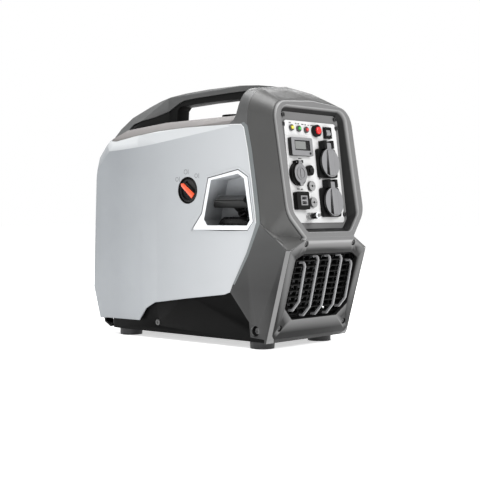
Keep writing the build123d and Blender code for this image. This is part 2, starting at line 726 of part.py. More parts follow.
with BuildPart() as terminal_pins:
    for z in AC_Z:
        with BuildSketch(panel(-9)):
            with Locations((AC_Y, up_panel(z) + 17.6), (AC_Y, up_panel(z) - 17.6)):
                Rectangle(4, 2.4)
        extrude(amount=11)
        with BuildSketch(hinge_line(AC_Y, up_panel(z) + HINGE_UP, HINGE_RISE)):
            Circle(PIN_R)
        extrude(amount=9.4, both=True)
    with BuildSketch(hinge_line(DC_Y, up_panel(DC_Z) + DC_HINGE_UP, DC_HINGE_RISE)):
        Circle(1)
    extrude(amount=7.6, both=True)
    with BuildSketch(panel(-12)):
        with Locations((GROUND_Y, up_panel(GROUND_Z))):
            Circle(STUD_R)
    extrude(amount=36)
    for rise, radius, height in ((0.1, 7, 1.6), (1.7, 5.8, 5), (6.7, 6.4, 1.2)):
        with BuildSketch(panel(rise)):
            with Locations((GROUND_Y, up_panel(GROUND_Z))):
                if height == 5:
                    RegularPolygon(radius, 6)
                else:
                    Circle(radius)
        extrude(amount=height)
terminal_pins.part.label = "terminal_pins"
export_step(terminal_pins.part, "parts/terminal_pins.step")

with BuildPart() as led_holders:
    for y, z in LEDS:
        with BuildSketch(panel(0.1)):
            with Locations((y, up_panel(z))):
                Circle(5.4)
        extrude(amount=3.4)
        with BuildSketch(panel(0.1)):
            with Locations((y, up_panel(z))):
                Circle(4)
        extrude(amount=-7)
        with BuildSketch(panel(-8)):
            with Locations((y, up_panel(z))):
                Circle(3.1)
        extrude(amount=14, mode=Mode.SUBTRACT)
led_holders.part.label = "led_holders"
export_step(led_holders.part, "parts/led_holders.step")

with BuildPart() as indicator_leds:
    for y, z in LEDS:
        with BuildSketch(panel(-6)):
            with Locations((y, up_panel(z))):
                Circle(2.9)
        extrude(amount=9.6)
indicator_leds.part.label = "indicator_leds"
export_step(indicator_leds.part, "parts/indicator_leds.step")


def push_ring(y, z, outer, inner, height):
    """Threaded collar that a push button slides in."""
    with BuildPart() as body:
        with BuildSketch(panel(0.1)):
            with Locations((y, up_panel(z))):
                Circle(outer)
        extrude(amount=height)
        with BuildSketch(panel(0.1)):
            with Locations((y, up_panel(z))):
                Circle(7.2)
        extrude(amount=-14)
        with BuildSketch(panel(-11)):
            with Locations((y, up_panel(z))):
                Circle(inner)
        extrude(amount=40, mode=Mode.SUBTRACT)
    return body.part


with BuildPart() as switch_housings:
    add(push_ring(RESET_Y, RESET_Z, 10.4, 6.4, 7))
    add(push_ring(BREAKER_Y, BREAKER_Z, 9, 4.6, 6))
    with BuildSketch(panel(0.1)):
        with Locations((ECO_Y, up_panel(ECO_Z))):
            RectangleRounded(19, 20, 1.5)
    extrude(amount=5)
    with BuildSketch(panel(0.1)):
        with Locations((ECO_Y, up_panel(ECO_Z))):
            Rectangle(13, 14)
    extrude(amount=-12)
    with BuildSketch(panel(-9)):
        with Locations((ECO_Y, up_panel(ECO_Z))):
            Rectangle(11, 12.8)
    extrude(amount=30, mode=Mode.SUBTRACT)
switch_housings.part.label = "switch_housings"
export_step(switch_housings.part, "parts/switch_housings.step")

with BuildPart() as reset_button:
    with BuildSketch(panel(-6)):
        with Locations((RESET_Y, up_panel(RESET_Z))):
            Circle(6.3)
    extrude(amount=16.6)
    fillet(reset_button.faces().sort_by(Axis.X)[-1].edges(), 1.6)
reset_button.part.label = "reset_button"
export_step(reset_button.part, "parts/reset_button.step")

with BuildPart() as breaker_button:
    with BuildSketch(panel(-7)):
        with Locations((BREAKER_Y, up_panel(BREAKER_Z))):
            Circle(4.5)
    extrude(amount=16)
    fillet(breaker_button.faces().sort_by(Axis.X)[-1].edges(), 0.8)
breaker_button.part.label = "breaker_button"
export_step(breaker_button.part, "parts/breaker_button.step")

ROCKER_RISE, ROCKER_R = 0.6, 6.1

with BuildPart() as eco_rocker:
    with BuildSketch(hinge_line(ECO_Y, up_panel(ECO_Z), ROCKER_RISE)):
        Circle(ROCKER_R)
    extrude(amount=5.2, both=True)
    with BuildSketch(panel(5.2)):
        with Locations((ECO_Y, up_panel(ECO_Z) + 3.4)):
            Rectangle(11, 5.6)
    extrude(amount=4, mode=Mode.SUBTRACT)
eco_rocker.part.label = "eco_rocker"
export_step(eco_rocker.part, "parts/eco_rocker.step")

with BuildPart() as meter_housing:
    with BuildSketch(panel(0.1)):
        with Locations((METER_Y, up_panel(METER_Z))):
            RectangleRounded(57, 31, 2.5)
    extrude(amount=8)
    with BuildSketch(panel(0.1)):
        with Locations((METER_Y, up_panel(METER_Z))):
            Rectangle(44, 18)
    extrude(amount=-14)
    with BuildSketch(panel(6.6)):
        with Locations((METER_Y + 0.5, up_panel(METER_Z) + 2)):
            Rectangle(41, 17.4)
    extrude(amount=5, mode=Mode.SUBTRACT)
    with BuildSketch(panel(3)):
        with Locations((METER_Y + 20, up_panel(METER_Z) - 11.2)):
            Circle(2)
    extrude(amount=10, mode=Mode.SUBTRACT)
meter_housing.part.label = "meter_housing"
export_step(meter_housing.part, "parts/meter_housing.step")

with BuildPart() as meter_display:
    with BuildSketch(panel(6.7)):
        with Locations((METER_Y + 0.5, up_panel(METER_Z) + 2)):
            Rectangle(40.4, 16.8)
    extrude(amount=0.8)
meter_display.part.label = "meter_display"
export_step(meter_display.part, "parts/meter_display.step")

with BuildPart() as meter_button:
    with BuildSketch(panel(4.6)):
        with Locations((METER_Y + 20, up_panel(METER_Z) - 11.2)):
            Circle(1.9)
    extrude(amount=4.6)
meter_button.part.label = "meter_button"
export_step(meter_button.part, "parts/meter_button.step")

with BuildPart() as usb_housing:
    with BuildSketch(panel(0.1)):
        with Locations((USB_Y, up_panel(USB_Z))):
            RectangleRounded(33, 30, 3)
    extrude(amount=9)
    with BuildSketch(panel(0.1)):
        with Locations((USB_Y, up_panel(USB_Z))):
            Rectangle(22, 18)
    extrude(amount=-12)
    with BuildSketch(panel(-4)):
        with Locations((USB_Y + 2, up_panel(USB_Z))):
            Rectangle(18, 17)
    extrude(amount=20, mode=Mode.SUBTRACT)
usb_housing.part.label = "usb_housing"
export_step(usb_housing.part, "parts/usb_housing.step")

with BuildPart() as usb_ports:
    with BuildSketch(panel(-3.8)):
        with Locations((USB_Y + 2, up_panel(USB_Z))):
            Rectangle(17.6, 16.6)
    extrude(amount=13.4)
    with BuildSketch(panel(1)):
        with Locations((USB_Y + 2, up_panel(USB_Z) + 3.9), (USB_Y + 2, up_panel(USB_Z) - 3.9)):
            Rectangle(12.5, 5.1)
    extrude(amount=20, mode=Mode.SUBTRACT)
usb_ports.part.label = "usb_ports"
export_step(usb_ports.part, "parts/usb_ports.step")

with BuildPart() as parallel_jacks:
    for y, z in JACKS:
        with BuildSketch(panel(0.1)):
            with Locations((y, up_panel(z))):
                Circle(8.6)
        extrude(amount=5)
        with BuildSketch(panel(0.1)):
            with Locations((y, up_panel(z))):
                Circle(4)
        extrude(amount=-16)
        with BuildSketch(panel(-12)):
            with Locations((y, up_panel(z))):
                Circle(2.05)
        extrude(amount=30, mode=Mode.SUBTRACT)
        with BuildSketch(panel(4.1)):
            with Locations((y, up_panel(z))):
                Rectangle(13, 1.2)
        extrude(amount=2, mode=Mode.SUBTRACT)
parallel_jacks.part.label = "parallel_jacks"
export_step(parallel_jacks.part, "parts/parallel_jacks.step")

with BuildPart() as ground_nut:
    with BuildSketch(panel(11)):
        with Locations((GROUND_Y, up_panel(GROUND_Z))):
            Circle(5.2)
            Rectangle(21, 3)
    extrude(amount=8)
    with BuildSketch(panel(8)):
        with Locations((GROUND_Y, up_panel(GROUND_Z))):
            Circle(5.2)
    extrude(amount=3)
    with BuildSketch(panel(7)):
        with Locations((GROUND_Y, up_panel(GROUND_Z))):
            Circle(STUD_R + 0.06)
    extrude(amount=20, mode=Mode.SUBTRACT)
ground_nut.part.label = "ground_nut"
export_step(ground_nut.part, "parts/ground_nut.step")

# ---------------------------------------------------------------- engine switch
with BuildPart() as switch_cup:
    with BuildSketch(Plane.XZ.offset(SIDE_Y - 15)):
        with Locations((KNOB_X, KNOB_Z)):
            Circle(KNOB_R + 2)
    extrude(amount=15)
    with BuildSketch(Plane.XZ.offset(SIDE_Y - 12.6)):
        with Locations((KNOB_X, KNOB_Z)):
            Circle(KNOB_R + 0.4)
    extrude(amount=20, mode=Mode.SUBTRACT)
    with BuildSketch(Plane.XZ.offset(80)):
        with Locations((KNOB_X, KNOB_Z)):
            Circle(4.06)
    extrude(amount=40, mode=Mode.SUBTRACT)
switch_cup.part.label = "switch_cup"
export_step(switch_cup.part, "parts/switch_cup.step")

with BuildPart() as switch_knob:
    with BuildSketch(Plane.XZ.offset(SIDE_Y - 12)):
        with Locations((KNOB_X, KNOB_Z)):
            Circle(KNOB_R)
    extrude(amount=10.4)
    fillet(switch_knob.faces().sort_by(Axis.Y)[0].edges(), 2.4)
    with BuildSketch(Plane.XZ.offset(SIDE_Y - 5)):
        with Locations((KNOB_X, KNOB_Z)):
            Circle(17)
            Rectangle(60, 13, rotation=-38, mode=Mode.SUBTRACT)
    extrude(amount=6, mode=Mode.SUBTRACT)
    with BuildSketch(Plane.XZ.offset(80)):
        with Locations((KNOB_X, KNOB_Z)):
            Circle(4)
    extrude(amount=20)
switch_knob.part.label = "switch_knob"
export_step(switch_knob.part, "parts/switch_knob.step")

POINTER_DIR = (cos(radians(142)), 0, sin(radians(142)))  # the switch points up and away from the panel end

with BuildPart() as switch_pointer:
    with BuildSketch(Plane(origin=(KNOB_X, -SIDE_Y + 1.5, KNOB_Z), x_dir=POINTER_DIR, z_dir=(0, -1, 0))):
        with BuildLine():
            Polyline((-16.5, -5), (16, -3.4), (20, 0.5), (16, 3.6), (-16.5, 5), close=True)
        make_face()
    extrude(amount=2.2)
switch_pointer.part.label = "switch_pointer"
export_step(switch_pointer.part, "parts/switch_pointer.step")

with BuildPart() as fuel_valve:
    with BuildSketch(Plane.XZ.offset(62)):
        with Locations((KNOB_X, KNOB_Z)):
            Rectangle(24, 26)
    extrude(amount=16)
    with BuildSketch(Plane.XZ.offset(78)):
        with Locations((KNOB_X, KNOB_Z)):
            Circle(4.5)
    extrude(amount=6, mode=Mode.SUBTRACT)
fuel_valve.part.label = "fuel_valve"
export_step(fuel_valve.part, "parts/fuel_valve.step")

# ---------------------------------------------------------------- recoil starter
PULL_DIR = Vector(0, -cos(radians(PULL)), sin(radians(PULL)))
GRIP_CENTRE = Vector(GRIP_X, GRIP_Y, GRIP_Z)


def along_pull(distance):
    """Plane across the rope at a distance from the grip, outward positive."""
    return Plane(origin=GRIP_CENTRE + PULL_DIR * distance, x_dir=(1, 0, 0), z_dir=PULL_DIR)


with BuildPart() as recoil_pocket:
    with BuildSketch(Plane.XZ.offset(-POCKET_Y - 2.6)):
        with BuildLine():
            Polyline(*POCKET_OUTLINE, close=True)
        make_face()
        offset(amount=2.4, kind=Kind.INTERSECTION)
    extrude(amount=SIDE_Y + POCKET_Y + 2.6)
    with BuildSketch(Plane.XZ.offset(-POCKET_Y)):
        with BuildLine():
            Polyline(*POCKET_OUTLINE, close=True)
        make_face()
    extrude(amount=60, mode=Mode.SUBTRACT)
    with BuildSketch(along_pull(-60)):
        Circle(9.4)
    extrude(amount=50, mode=Mode.SUBTRACT)
recoil_pocket.part.label = "recoil_pocket"
export_step(recoil_pocket.part, "parts/recoil_pocket.step")

GUIDE_OUTLINE = [(67.5, 209.6), (73, 219), (81, 223.5), (124, 223.5), (134, 219), (140, 209.5)]

with BuildPart() as rope_guide:
    with BuildSketch(along_pull(-42)):
        Circle(9.2)
    extrude(amount=13)
    fillet(rope_guide.edges().group_by(Axis.Y)[0], 1.5)
    add(prism(GUIDE_OUTLINE, -88, POCKET_Y - 0.1))
    chamfer(rope_guide.faces().sort_by(Axis.Y)[0].edges().filter_by(lambda e: e.center().Z > 212), 3.5)
    with BuildSketch(along_pull(-60)):
        Circle(3)
    extrude(amount=60, mode=Mode.SUBTRACT)
rope_guide.part.label = "rope_guide"
export_step(rope_guide.part, "parts/rope_guide.step")

with BuildPart() as recoil_trim:
    with BuildSketch(Plane.XZ.offset(SIDE_Y + 0.1)):
        with BuildLine():
            Polyline(*TRIM_OUTLINE, close=True)
        make_face()
    extrude(amount=0.9)
    with BuildSketch(Plane.XZ.offset(SIDE_Y - 10)):
        with BuildLine():
            Polyline(*POCKET_OUTLINE, close=True)
        make_face()
        offset(amount=-0.4, kind=Kind.INTERSECTION)
    extrude(amount=20, mode=Mode.SUBTRACT)
recoil_trim.part.label = "recoil_trim"
export_step(recoil_trim.part, "parts/recoil_trim.step")

GRIP_DIR = Vector(0, -cos(radians(GRIP_TILT)), sin(radians(GRIP_TILT)))
GRIP_FACE = Vector(0, -sin(radians(GRIP_TILT)), -cos(radians(GRIP_TILT)))


def across_grip(rise):
    """Plane of the T-bar's own outline, at a rise towards its lower face."""
    return Plane(origin=GRIP_CENTRE + GRIP_FACE * rise, x_dir=(1, 0, 0), z_dir=GRIP_FACE)


GRIP_HALF, GRIP_FACE_HALF, GRIP_D, GRIP_W = 40.8, 32.0, 18.0, 16.0


def across_hand(outward):
    """Plane across the hand side of the T-bar, at a distance outward from its middle."""
    return Plane(origin=GRIP_CENTRE + GRIP_DIR * outward, x_dir=(1, 0, 0), z_dir=GRIP_DIR)


with BuildPart() as recoil_grip:
    with BuildSketch(across_grip(-GRIP_W / 2)):
        with BuildLine():
            Polyline((-GRIP_HALF, -GRIP_D / 2), (GRIP_HALF, -GRIP_D / 2), (GRIP_HALF, -GRIP_D / 2 + 7),
                     (GRIP_FACE_HALF, GRIP_D / 2), (-GRIP_FACE_HALF, GRIP_D / 2), (-GRIP_HALF, -GRIP_D / 2 + 7),
                     close=True)
        make_face()
    extrude(amount=GRIP_W)
    fillet(recoil_grip.edges().filter_by(Axis.X), 2.6)
    with BuildSketch(along_pull(-26)):
        RectangleRounded(15, 9, 3)
    extrude(amount=22)
    with BuildSketch(across_hand(GRIP_D / 2 - 1.2)):
        RectangleRounded(60, 10, 2)
    extrude(amount=5, mode=Mode.SUBTRACT)
recoil_grip.part.label = "recoil_grip"
export_step(recoil_grip.part, "parts/recoil_grip.step")

with BuildPart() as grip_insert:
    with BuildSketch(across_hand(GRIP_D / 2 - 1.1)):
        RectangleRounded(59.4, 9.4, 1.8)
    extrude(amount=1.5)
grip_insert.part.label = "grip_insert"
export_step(grip_insert.part, "parts/grip_insert.step")

ROPE_R = 1.8
ROPE_LENGTH = 108.0

with BuildPart() as starter_rope:
    with BuildSketch(along_pull(-26.1)):
        Circle(ROPE_R)
    extrude(amount=-ROPE_LENGTH)
starter_rope.part.label = "starter_rope"
export_step(starter_rope.part, "parts/starter_rope.step")

with BuildPart() as recoil_reel:
    with BuildSketch(Plane.YZ.offset(GRIP_X - 6)):
        with Locations((0, CRANK_Z)):
            Circle(REEL_R - ROPE_R - 0.4)
    extrude(amount=12)
    for start in (-8, 4):
        with BuildSketch(Plane.YZ.offset(GRIP_X + start)):
            with Locations((0, CRANK_Z)):
                Circle(REEL_R + 6)
        extrude(amount=4)
    with BuildSketch(Plane.YZ.offset(GRIP_X - 20)):
        with Locations((0, CRANK_Z)):
            Circle(7.06)
    extrude(amount=40, mode=Mode.SUBTRACT)
recoil_reel.part.label = "recoil_reel"
export_step(recoil_reel.part, "parts/recoil_reel.step")

with BuildPart() as starter_housing:
    with BuildSketch(Plane.YZ.offset(GRIP_X - 12)):
        with Locations((0, CRANK_Z)):
            Circle(62)
    extrude(amount=30)
    with BuildSketch(Plane.YZ.offset(GRIP_X - 13)):
        with Locations((0, CRANK_Z)):
            Circle(59)
    extrude(amount=28, mode=Mode.SUBTRACT)
    with BuildSketch(Plane.YZ.offset(GRIP_X - 8)):
        with Locations((0, CRANK_Z)):
            Circle(7)
    extrude(amount=24)
    with BuildSketch(Plane.YZ.offset(GRIP_X + 10)):
        with Locations((0, CRANK_Z)):
            with PolarLocations(49, 12):
                Circle(6)
    extrude(amount=12, mode=Mode.SUBTRACT)
    with BuildSketch(along_pull(-150)):
        Circle(5)
    extrude(amount=150, mode=Mode.SUBTRACT)
starter_housing.part.label = "starter_housing"
export_step(starter_housing.part, "parts/starter_housing.step")

# ---------------------------------------------------------------- engine and alternator
SHAFT_R = 10.0
CASE_X0, CASE_X1 = -52.0, 42.0


def on_crank(x):
    """Plane across the crankshaft."""
    return Plane(origin=(x, 0, CRANK_Z), x_dir=(0, 1, 0), z_dir=(1, 0, 0))


with BuildPart() as crankcase:
    with BuildSketch(Plane.XZ):
        with BuildLine():
            Polyline((CASE_X0, 52), (CASE_X1, 52), (CASE_X1, 190), (32, 200), (-42, 200), (CASE_X0, 190),
                     close=True)
        make_face()
    extrude(amount=46, both=True)
    fillet(crankcase.edges().filter_by(Axis.X), 10)
    with BuildSketch(Plane.XY.offset(46)):
        with Locations((-5, 0)):
            RectangleRounded(104, 150, 8)
    extrude(amount=8)
    with BuildSketch(on_crank(CASE_X0 - 1)):
        Circle(SHAFT_R + 0.06)
    extrude(amount=120, mode=Mode.SUBTRACT)
    with BuildSketch(on_crank(-30)):
        Circle(34)
    extrude(amount=50, mode=Mode.SUBTRACT)
crankcase.part.label = "crankcase"
export_step(crankcase.part, "parts/crankcase.step")

with BuildPart() as crankshaft:
    with BuildSketch(on_crank(CASE_X0 - 4)):
        Circle(SHAFT_R)
    extrude(amount=96 - CASE_X0)
    with BuildSketch(on_crank(-20)):
        Circle(15.5)
    extrude(amount=34)
crankshaft.part.label = "crankshaft"
export_step(crankshaft.part, "parts/crankshaft.step")

with BuildPart() as stator:
    with BuildSketch(on_crank(CASE_X1 + 0.4)):
        Circle(40)
        Circle(14, mode=Mode.SUBTRACT)
        with PolarLocations(35, 18):
            Rectangle(8, 3, mode=Mode.SUBTRACT)
    extrude(amount=22)
stator.part.label = "stator"
export_step(stator.part, "parts/stator.step")

with BuildPart() as flywheel:
    with BuildSketch(on_crank(CASE_X1 + 2)):
        Circle(50)
        Circle(41.5, mode=Mode.SUBTRACT)
    extrude(amount=24)
    with BuildSketch(on_crank(CASE_X1 + 24)):
        Circle(50)
    extrude(amount=5)
    with BuildSketch(on_crank(CASE_X1 + 29)):
        Circle(16)
        with PolarLocations(36, 14):
            Rectangle(22, 2.2, rotation=28)
    extrude(amount=17)
    with BuildSketch(on_crank(CASE_X1)):
        Circle(SHAFT_R + 0.02)
    extrude(amount=60, mode=Mode.SUBTRACT)
flywheel.part.label = "flywheel"
export_step(flywheel.part, "parts/flywheel.step")

with BuildPart() as cylinder:
    with BuildSketch(Plane.XY.offset(200.3)):
        with Locations((-5, 0)):
            Circle(26)
    extrude(amount=56)
    for index in range(8):
        with BuildSketch(Plane.XY.offset(204 + index * 6.4)):
            with Locations((-5, 0)):
                RectangleRounded(74, 80, 12)
        extrude(amount=2)
    with BuildSketch(Plane.XY.offset(256.3)):
        with Locations((-5, 0)):
            RectangleRounded(72, 76, 8)
    extrude(amount=14)
    with BuildSketch(Plane.XY.offset(199)):
        with Locations((-5, 0)):
            Circle(20)
    extrude(amount=60, mode=Mode.SUBTRACT)
cylinder.part.label = "cylinder"
export_step(cylinder.part, "parts/cylinder.step")

with BuildPart() as valve_cover:
    with BuildSketch(Plane.XY.offset(270.6)):
        with Locations((-5, 0)):
            RectangleRounded(60, 64, 10)
    extrude(amount=26)
    fillet(valve_cover.faces().sort_by(Axis.Z)[-1].edges(), 5)
valve_cover.part.label = "valve_cover"
export_step(valve_cover.part, "parts/valve_cover.step")

with BuildPart() as muffler:
    with BuildSketch(Plane.YZ.offset(-222)):
        with Locations((0, 168)):
            RectangleRounded(120, 110, 22)
    extrude(amount=82)
    fillet(muffler.faces().filter_by(Axis.X).edges(), 6)
    with BuildSketch(Plane.YZ.offset(-238)):
        with Locations((EXHAUST_Y, EXHAUST_Z)):
            Circle(10)
    extrude(amount=30)
    with BuildSketch(Plane.YZ.offset(-239)):
        with Locations((EXHAUST_Y, EXHAUST_Z)):
            Circle(8.4)
    extrude(amount=26, mode=Mode.SUBTRACT)
    with BuildSketch(Plane.YZ.offset(-141)):
        with Locations((0, 205)):
            Circle(11)
    extrude(amount=84)
    with BuildSketch(Plane.YZ.offset(-LENGTH / 2)):
        with Locations((EXHAUST_Y, EXHAUST_Z)):
            Circle(EXHAUST_R + 3.4)
            Circle(EXHAUST_R, mode=Mode.SUBTRACT)
    extrude(amount=12)
    with BuildSketch(Plane.YZ.offset(-LENGTH / 2 + 10)):
        with Locations((EXHAUST_Y, EXHAUST_Z)):
            Circle(EXHAUST_R + 3.4)
            Circle(9, mode=Mode.SUBTRACT)
    extrude(amount=6)
muffler.part.label = "muffler"
export_step(muffler.part, "parts/muffler.step")

with BuildPart() as carburettor:
    with BuildSketch(Plane.XZ.offset(-50)):
        with Locations((-20, 232)):
            RectangleRounded(34, 40, 6)
    extrude(amount=-28)
    with BuildSketch(Plane.XZ.offset(-40.4)):
        with Locations((-20, 232)):
            Circle(11)
    extrude(amount=-12)
carburettor.part.label = "carburettor"
export_step(carburettor.part, "parts/carburettor.step")

with BuildPart() as air_filter:
    with BuildSketch(Plane.XZ.offset(-34)):
        with Locations((-94, 251)):
            RectangleRounded(86, 72, 8)
    extrude(amount=-62)
    with BuildSketch(Plane.YZ.offset(-57)):
        with Locations((64, 232)):
            Circle(12)
    extrude(amount=19.5)
air_filter.part.label = "air_filter"
export_step(air_filter.part, "parts/air_filter.step")

with BuildPart() as inverter:
    with BuildSketch(Plane.XY.offset(32)):
        with Locations((158, 0)):
            Rectangle(32, 150)
    extrude(amount=82)
    for index in range(12):
        with BuildSketch(Plane.XY.offset(34)):
            with Locations((139, 12.4 * (index - 5.5))):
                Rectangle(7, 2.4)
        extrude(amount=78)
inverter.part.label = "inverter"
export_step(inverter.part, "parts/inverter.step")

# ---------------------------------------------------------------- fuel tank and cap
with BuildPart() as fuel_tank:
    with BuildSketch(Plane.XY.offset(304)):
        with Locations((-30, 0)):
            RectangleRounded(250, 176, 26)
    extrude(amount=80)
    fillet(fuel_tank.faces().sort_by(Axis.Z)[0].edges(), 8)
    with BuildSketch(Plane.XY.offset(380)):
        with Locations((CAP_X, CAP_Y)):
            Circle(24)
    extrude(amount=22)
    with BuildSketch(Plane.XY.offset(308)):
        with Locations((-30, 0)):
            RectangleRounded(244, 170, 23)
    extrude(amount=73, mode=Mode.SUBTRACT)
    with BuildSketch(Plane.XY.offset(379)):
        with Locations((CAP_X, CAP_Y)):
            Circle(21)
    extrude(amount=40, mode=Mode.SUBTRACT)
fuel_tank.part.label = "fuel_tank"
export_step(fuel_tank.part, "parts/fuel_tank.step")

with BuildPart() as cap_seal:
    with BuildSketch(Plane.XY.offset(402.2)):
        with Locations((CAP_X, CAP_Y)):
            Circle(24)
            Circle(19, mode=Mode.SUBTRACT)
    extrude(amount=2)
cap_seal.part.label = "cap_seal"
export_step(cap_seal.part, "parts/cap_seal.step")

with BuildPart() as fuel_cap:
    with BuildSketch(Plane.XY.offset(CAP_Z)):
        with Locations((CAP_X, CAP_Y)):
            Circle(CAP_R)
            with PolarLocations(CAP_R + 0.4, 24):
                Circle(1.6, mode=Mode.SUBTRACT)
    extrude(amount=CAP_H)
    with BuildSketch(Plane.XY.offset(CAP_Z - 1)):
        with Locations((CAP_X, CAP_Y)):
            Circle(25)
    extrude(amount=5, mode=Mode.SUBTRACT)
    with BuildSketch(Plane.XY.offset(CAP_Z + CAP_H - 1.6)):
        with Locations((CAP_X, CAP_Y)):
            Circle(24)
            Rectangle(60, 12, mode=Mode.SUBTRACT)
    extrude(amount=5, mode=Mode.SUBTRACT)
fuel_cap.part.label = "fuel_cap"
export_step(fuel_cap.part, "parts/fuel_cap.step")
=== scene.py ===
"""Looks of the portable generator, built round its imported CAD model.

Metres, with +X towards the control panel and +Z up. The small pieces' places are given in mm.
"""
import json
from math import cos, pi, radians, sin

import bmesh
import bpy
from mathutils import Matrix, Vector


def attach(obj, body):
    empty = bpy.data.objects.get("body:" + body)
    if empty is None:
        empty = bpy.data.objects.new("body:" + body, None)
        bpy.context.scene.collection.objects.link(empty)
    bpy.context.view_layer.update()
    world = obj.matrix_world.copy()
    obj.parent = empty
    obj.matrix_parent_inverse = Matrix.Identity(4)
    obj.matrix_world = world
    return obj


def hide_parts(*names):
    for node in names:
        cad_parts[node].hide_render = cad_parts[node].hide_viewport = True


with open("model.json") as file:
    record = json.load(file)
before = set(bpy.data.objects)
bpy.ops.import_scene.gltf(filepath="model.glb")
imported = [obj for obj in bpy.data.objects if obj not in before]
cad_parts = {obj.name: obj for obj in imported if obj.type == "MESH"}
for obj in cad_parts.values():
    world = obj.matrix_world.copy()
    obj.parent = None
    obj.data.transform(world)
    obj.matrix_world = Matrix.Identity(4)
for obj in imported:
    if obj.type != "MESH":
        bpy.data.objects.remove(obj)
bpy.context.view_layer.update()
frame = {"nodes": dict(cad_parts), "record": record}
nodes = frame["nodes"]
scene = bpy.context.scene

# ---------------------------------------------------------------- places on the leaning faceplate
MM = 1000  # millimetres in a metre
LEAN = radians(7.2)
PLATE_HEIGHT = 300
PLATE = Vector((0.2163, 0, 0.300))
OUT = Vector((cos(LEAN), 0, sin(LEAN)))
UP = Vector((-sin(LEAN), 0, cos(LEAN)))
SIDE = Vector((0, 1, 0))


def on_plate(y, z, rise=0.0):
    """A point on the faceplate from its y, its height z and its rise off the surface, all in mm."""
    return PLATE + SIDE * (y / MM) + UP * ((z - PLATE_HEIGHT) / cos(LEAN) / MM) + OUT * (rise / MM)


# ---------------------------------------------------------------- materials
def graph(name):
    material = bpy.data.materials.new(name)
    material.use_nodes = True
    tree = material.node_tree
    return material, tree.nodes, tree.links, tree.nodes["Principled BSDF"]


def noise(n, links, scale, detail):
    """Noise in the object's own frame, so that it stays put on each piece."""
    coord = n.new("ShaderNodeTexCoord")
    tex = n.new("ShaderNodeTexNoise")
    tex.inputs["Scale"].default_value = scale
    tex.inputs["Detail"].default_value = detail
    tex.inputs["Roughness"].default_value = 0.55
    links.new(coord.outputs["Object"], tex.inputs["Vector"])
    return tex


def ramp(n, links, source, low, high):
    """Colour that goes from low to high over the middle of a value's range."""
    node = n.new("ShaderNodeValToRGB")
    for element, position, colour in zip(node.color_ramp.elements, (0.3, 0.7), (low, high)):
        element.position = position
        element.color = colour
    links.new(source, node.inputs["Fac"])
    return node


def spread(n, links, source, low, high, socket):
    """Takes a value from 0 to 1 to a range, and feeds a socket with it."""
    node = n.new("ShaderNodeMapRange")
    node.inputs["To Min"].default_value = low
    node.inputs["To Max"].default_value = high
    links.new(source, node.inputs["Value"])
    links.new(node.outputs["Result"], socket)


def tint(colour, share):
    return tuple(min(1.0, c * share) for c in colour) + (1.0,)


def grey(level):
    return (level, level, level)


BLOTCH = 14.0  # scale of the slow drift in colour
SHEEN_STEP = 9  # how much finer the drift in roughness is
SHEEN_VARY = 0.07
RELIEF_DEPTH = 0.0002
COAT_ROUGHNESS = 0.12


def moulded(name, colour, rough, vary, grain, bump, metallic=0.0, coat=0.0, specular=0.5):
    """Moulded or painted surface: slow colour drift, uneven sheen and a fine grain."""
    material, n, links, bsdf = graph(name)
    drift = noise(n, links, BLOTCH, 4.0)
    paint = ramp(n, links, drift.outputs["Fac"], tint(colour, 1 - vary), tint(colour, 1 + vary))
    links.new(paint.outputs["Color"], bsdf.inputs["Base Color"])
    sheen = noise(n, links, BLOTCH * SHEEN_STEP, 5.0)
    spread(n, links, sheen.outputs["Fac"], max(0.03, rough - SHEEN_VARY), min(1.0, rough + SHEEN_VARY),
           bsdf.inputs["Roughness"])
    relief = n.new("ShaderNodeBump")
    relief.inputs["Strength"].default_value = bump
    relief.inputs["Distance"].default_value = RELIEF_DEPTH
    links.new(noise(n, links, grain, 2.0).outputs["Fac"], relief.inputs["Height"])
    links.new(relief.outputs["Normal"], bsdf.inputs["Normal"])
    bsdf.inputs["Metallic"].default_value = metallic
    bsdf.inputs["Coat Weight"].default_value = coat
    bsdf.inputs["Coat Roughness"].default_value = COAT_ROUGHNESS
    bsdf.inputs["Specular IOR Level"].default_value = specular
    return material


SCRATCH_STRETCH = (1.0, 40.0, 40.0)
SCRATCH_SCALE = 60


def brushed(name, colour, rough):
    """Metal with fine parallel scratches."""
    material, n, links, bsdf = graph(name)
    coord = n.new("ShaderNodeTexCoord")
    stretch = n.new("ShaderNodeMapping")
    stretch.inputs["Scale"].default_value = SCRATCH_STRETCH
    tex = n.new("ShaderNodeTexNoise")
    tex.inputs["Scale"].default_value = SCRATCH_SCALE
    tex.inputs["Detail"].default_value = 6
    links.new(coord.outputs["Object"], stretch.inputs["Vector"])
    links.new(stretch.outputs["Vector"], tex.inputs["Vector"])
    links.new(ramp(n, links, tex.outputs["Fac"], tint(colour, 0.85), tint(colour, 1.1)).outputs["Color"],
              bsdf.inputs["Base Color"])
    spread(n, links, tex.outputs["Fac"], rough * 0.7, rough * 1.3, bsdf.inputs["Roughness"])
    bsdf.inputs["Metallic"].default_value = 1.0
    return material


def lens(name, colour):
    """Tinted glossy plastic, a little cloudy inside."""
    material, n, links, bsdf = graph(name)
    cloud = noise(n, links, 400, 2.0)
    links.new(ramp(n, links, cloud.outputs["Fac"], tint(colour, 0.85), tint(colour, 1.15)).outputs["Color"],
              bsdf.inputs["Base Color"])
    bsdf.inputs["Roughness"].default_value = 0.08
    bsdf.inputs["Coat Weight"].default_value = 0.6
    return material


def dotted(n, links, vector, direction):
    """The share of a vector that lies along a direction."""
    node = n.new("ShaderNodeVectorMath")
    node.operation = "DOT_PRODUCT"
    node.inputs[1].default_value = direction
    links.new(vector, node.inputs[0])
    return node.outputs["Value"]


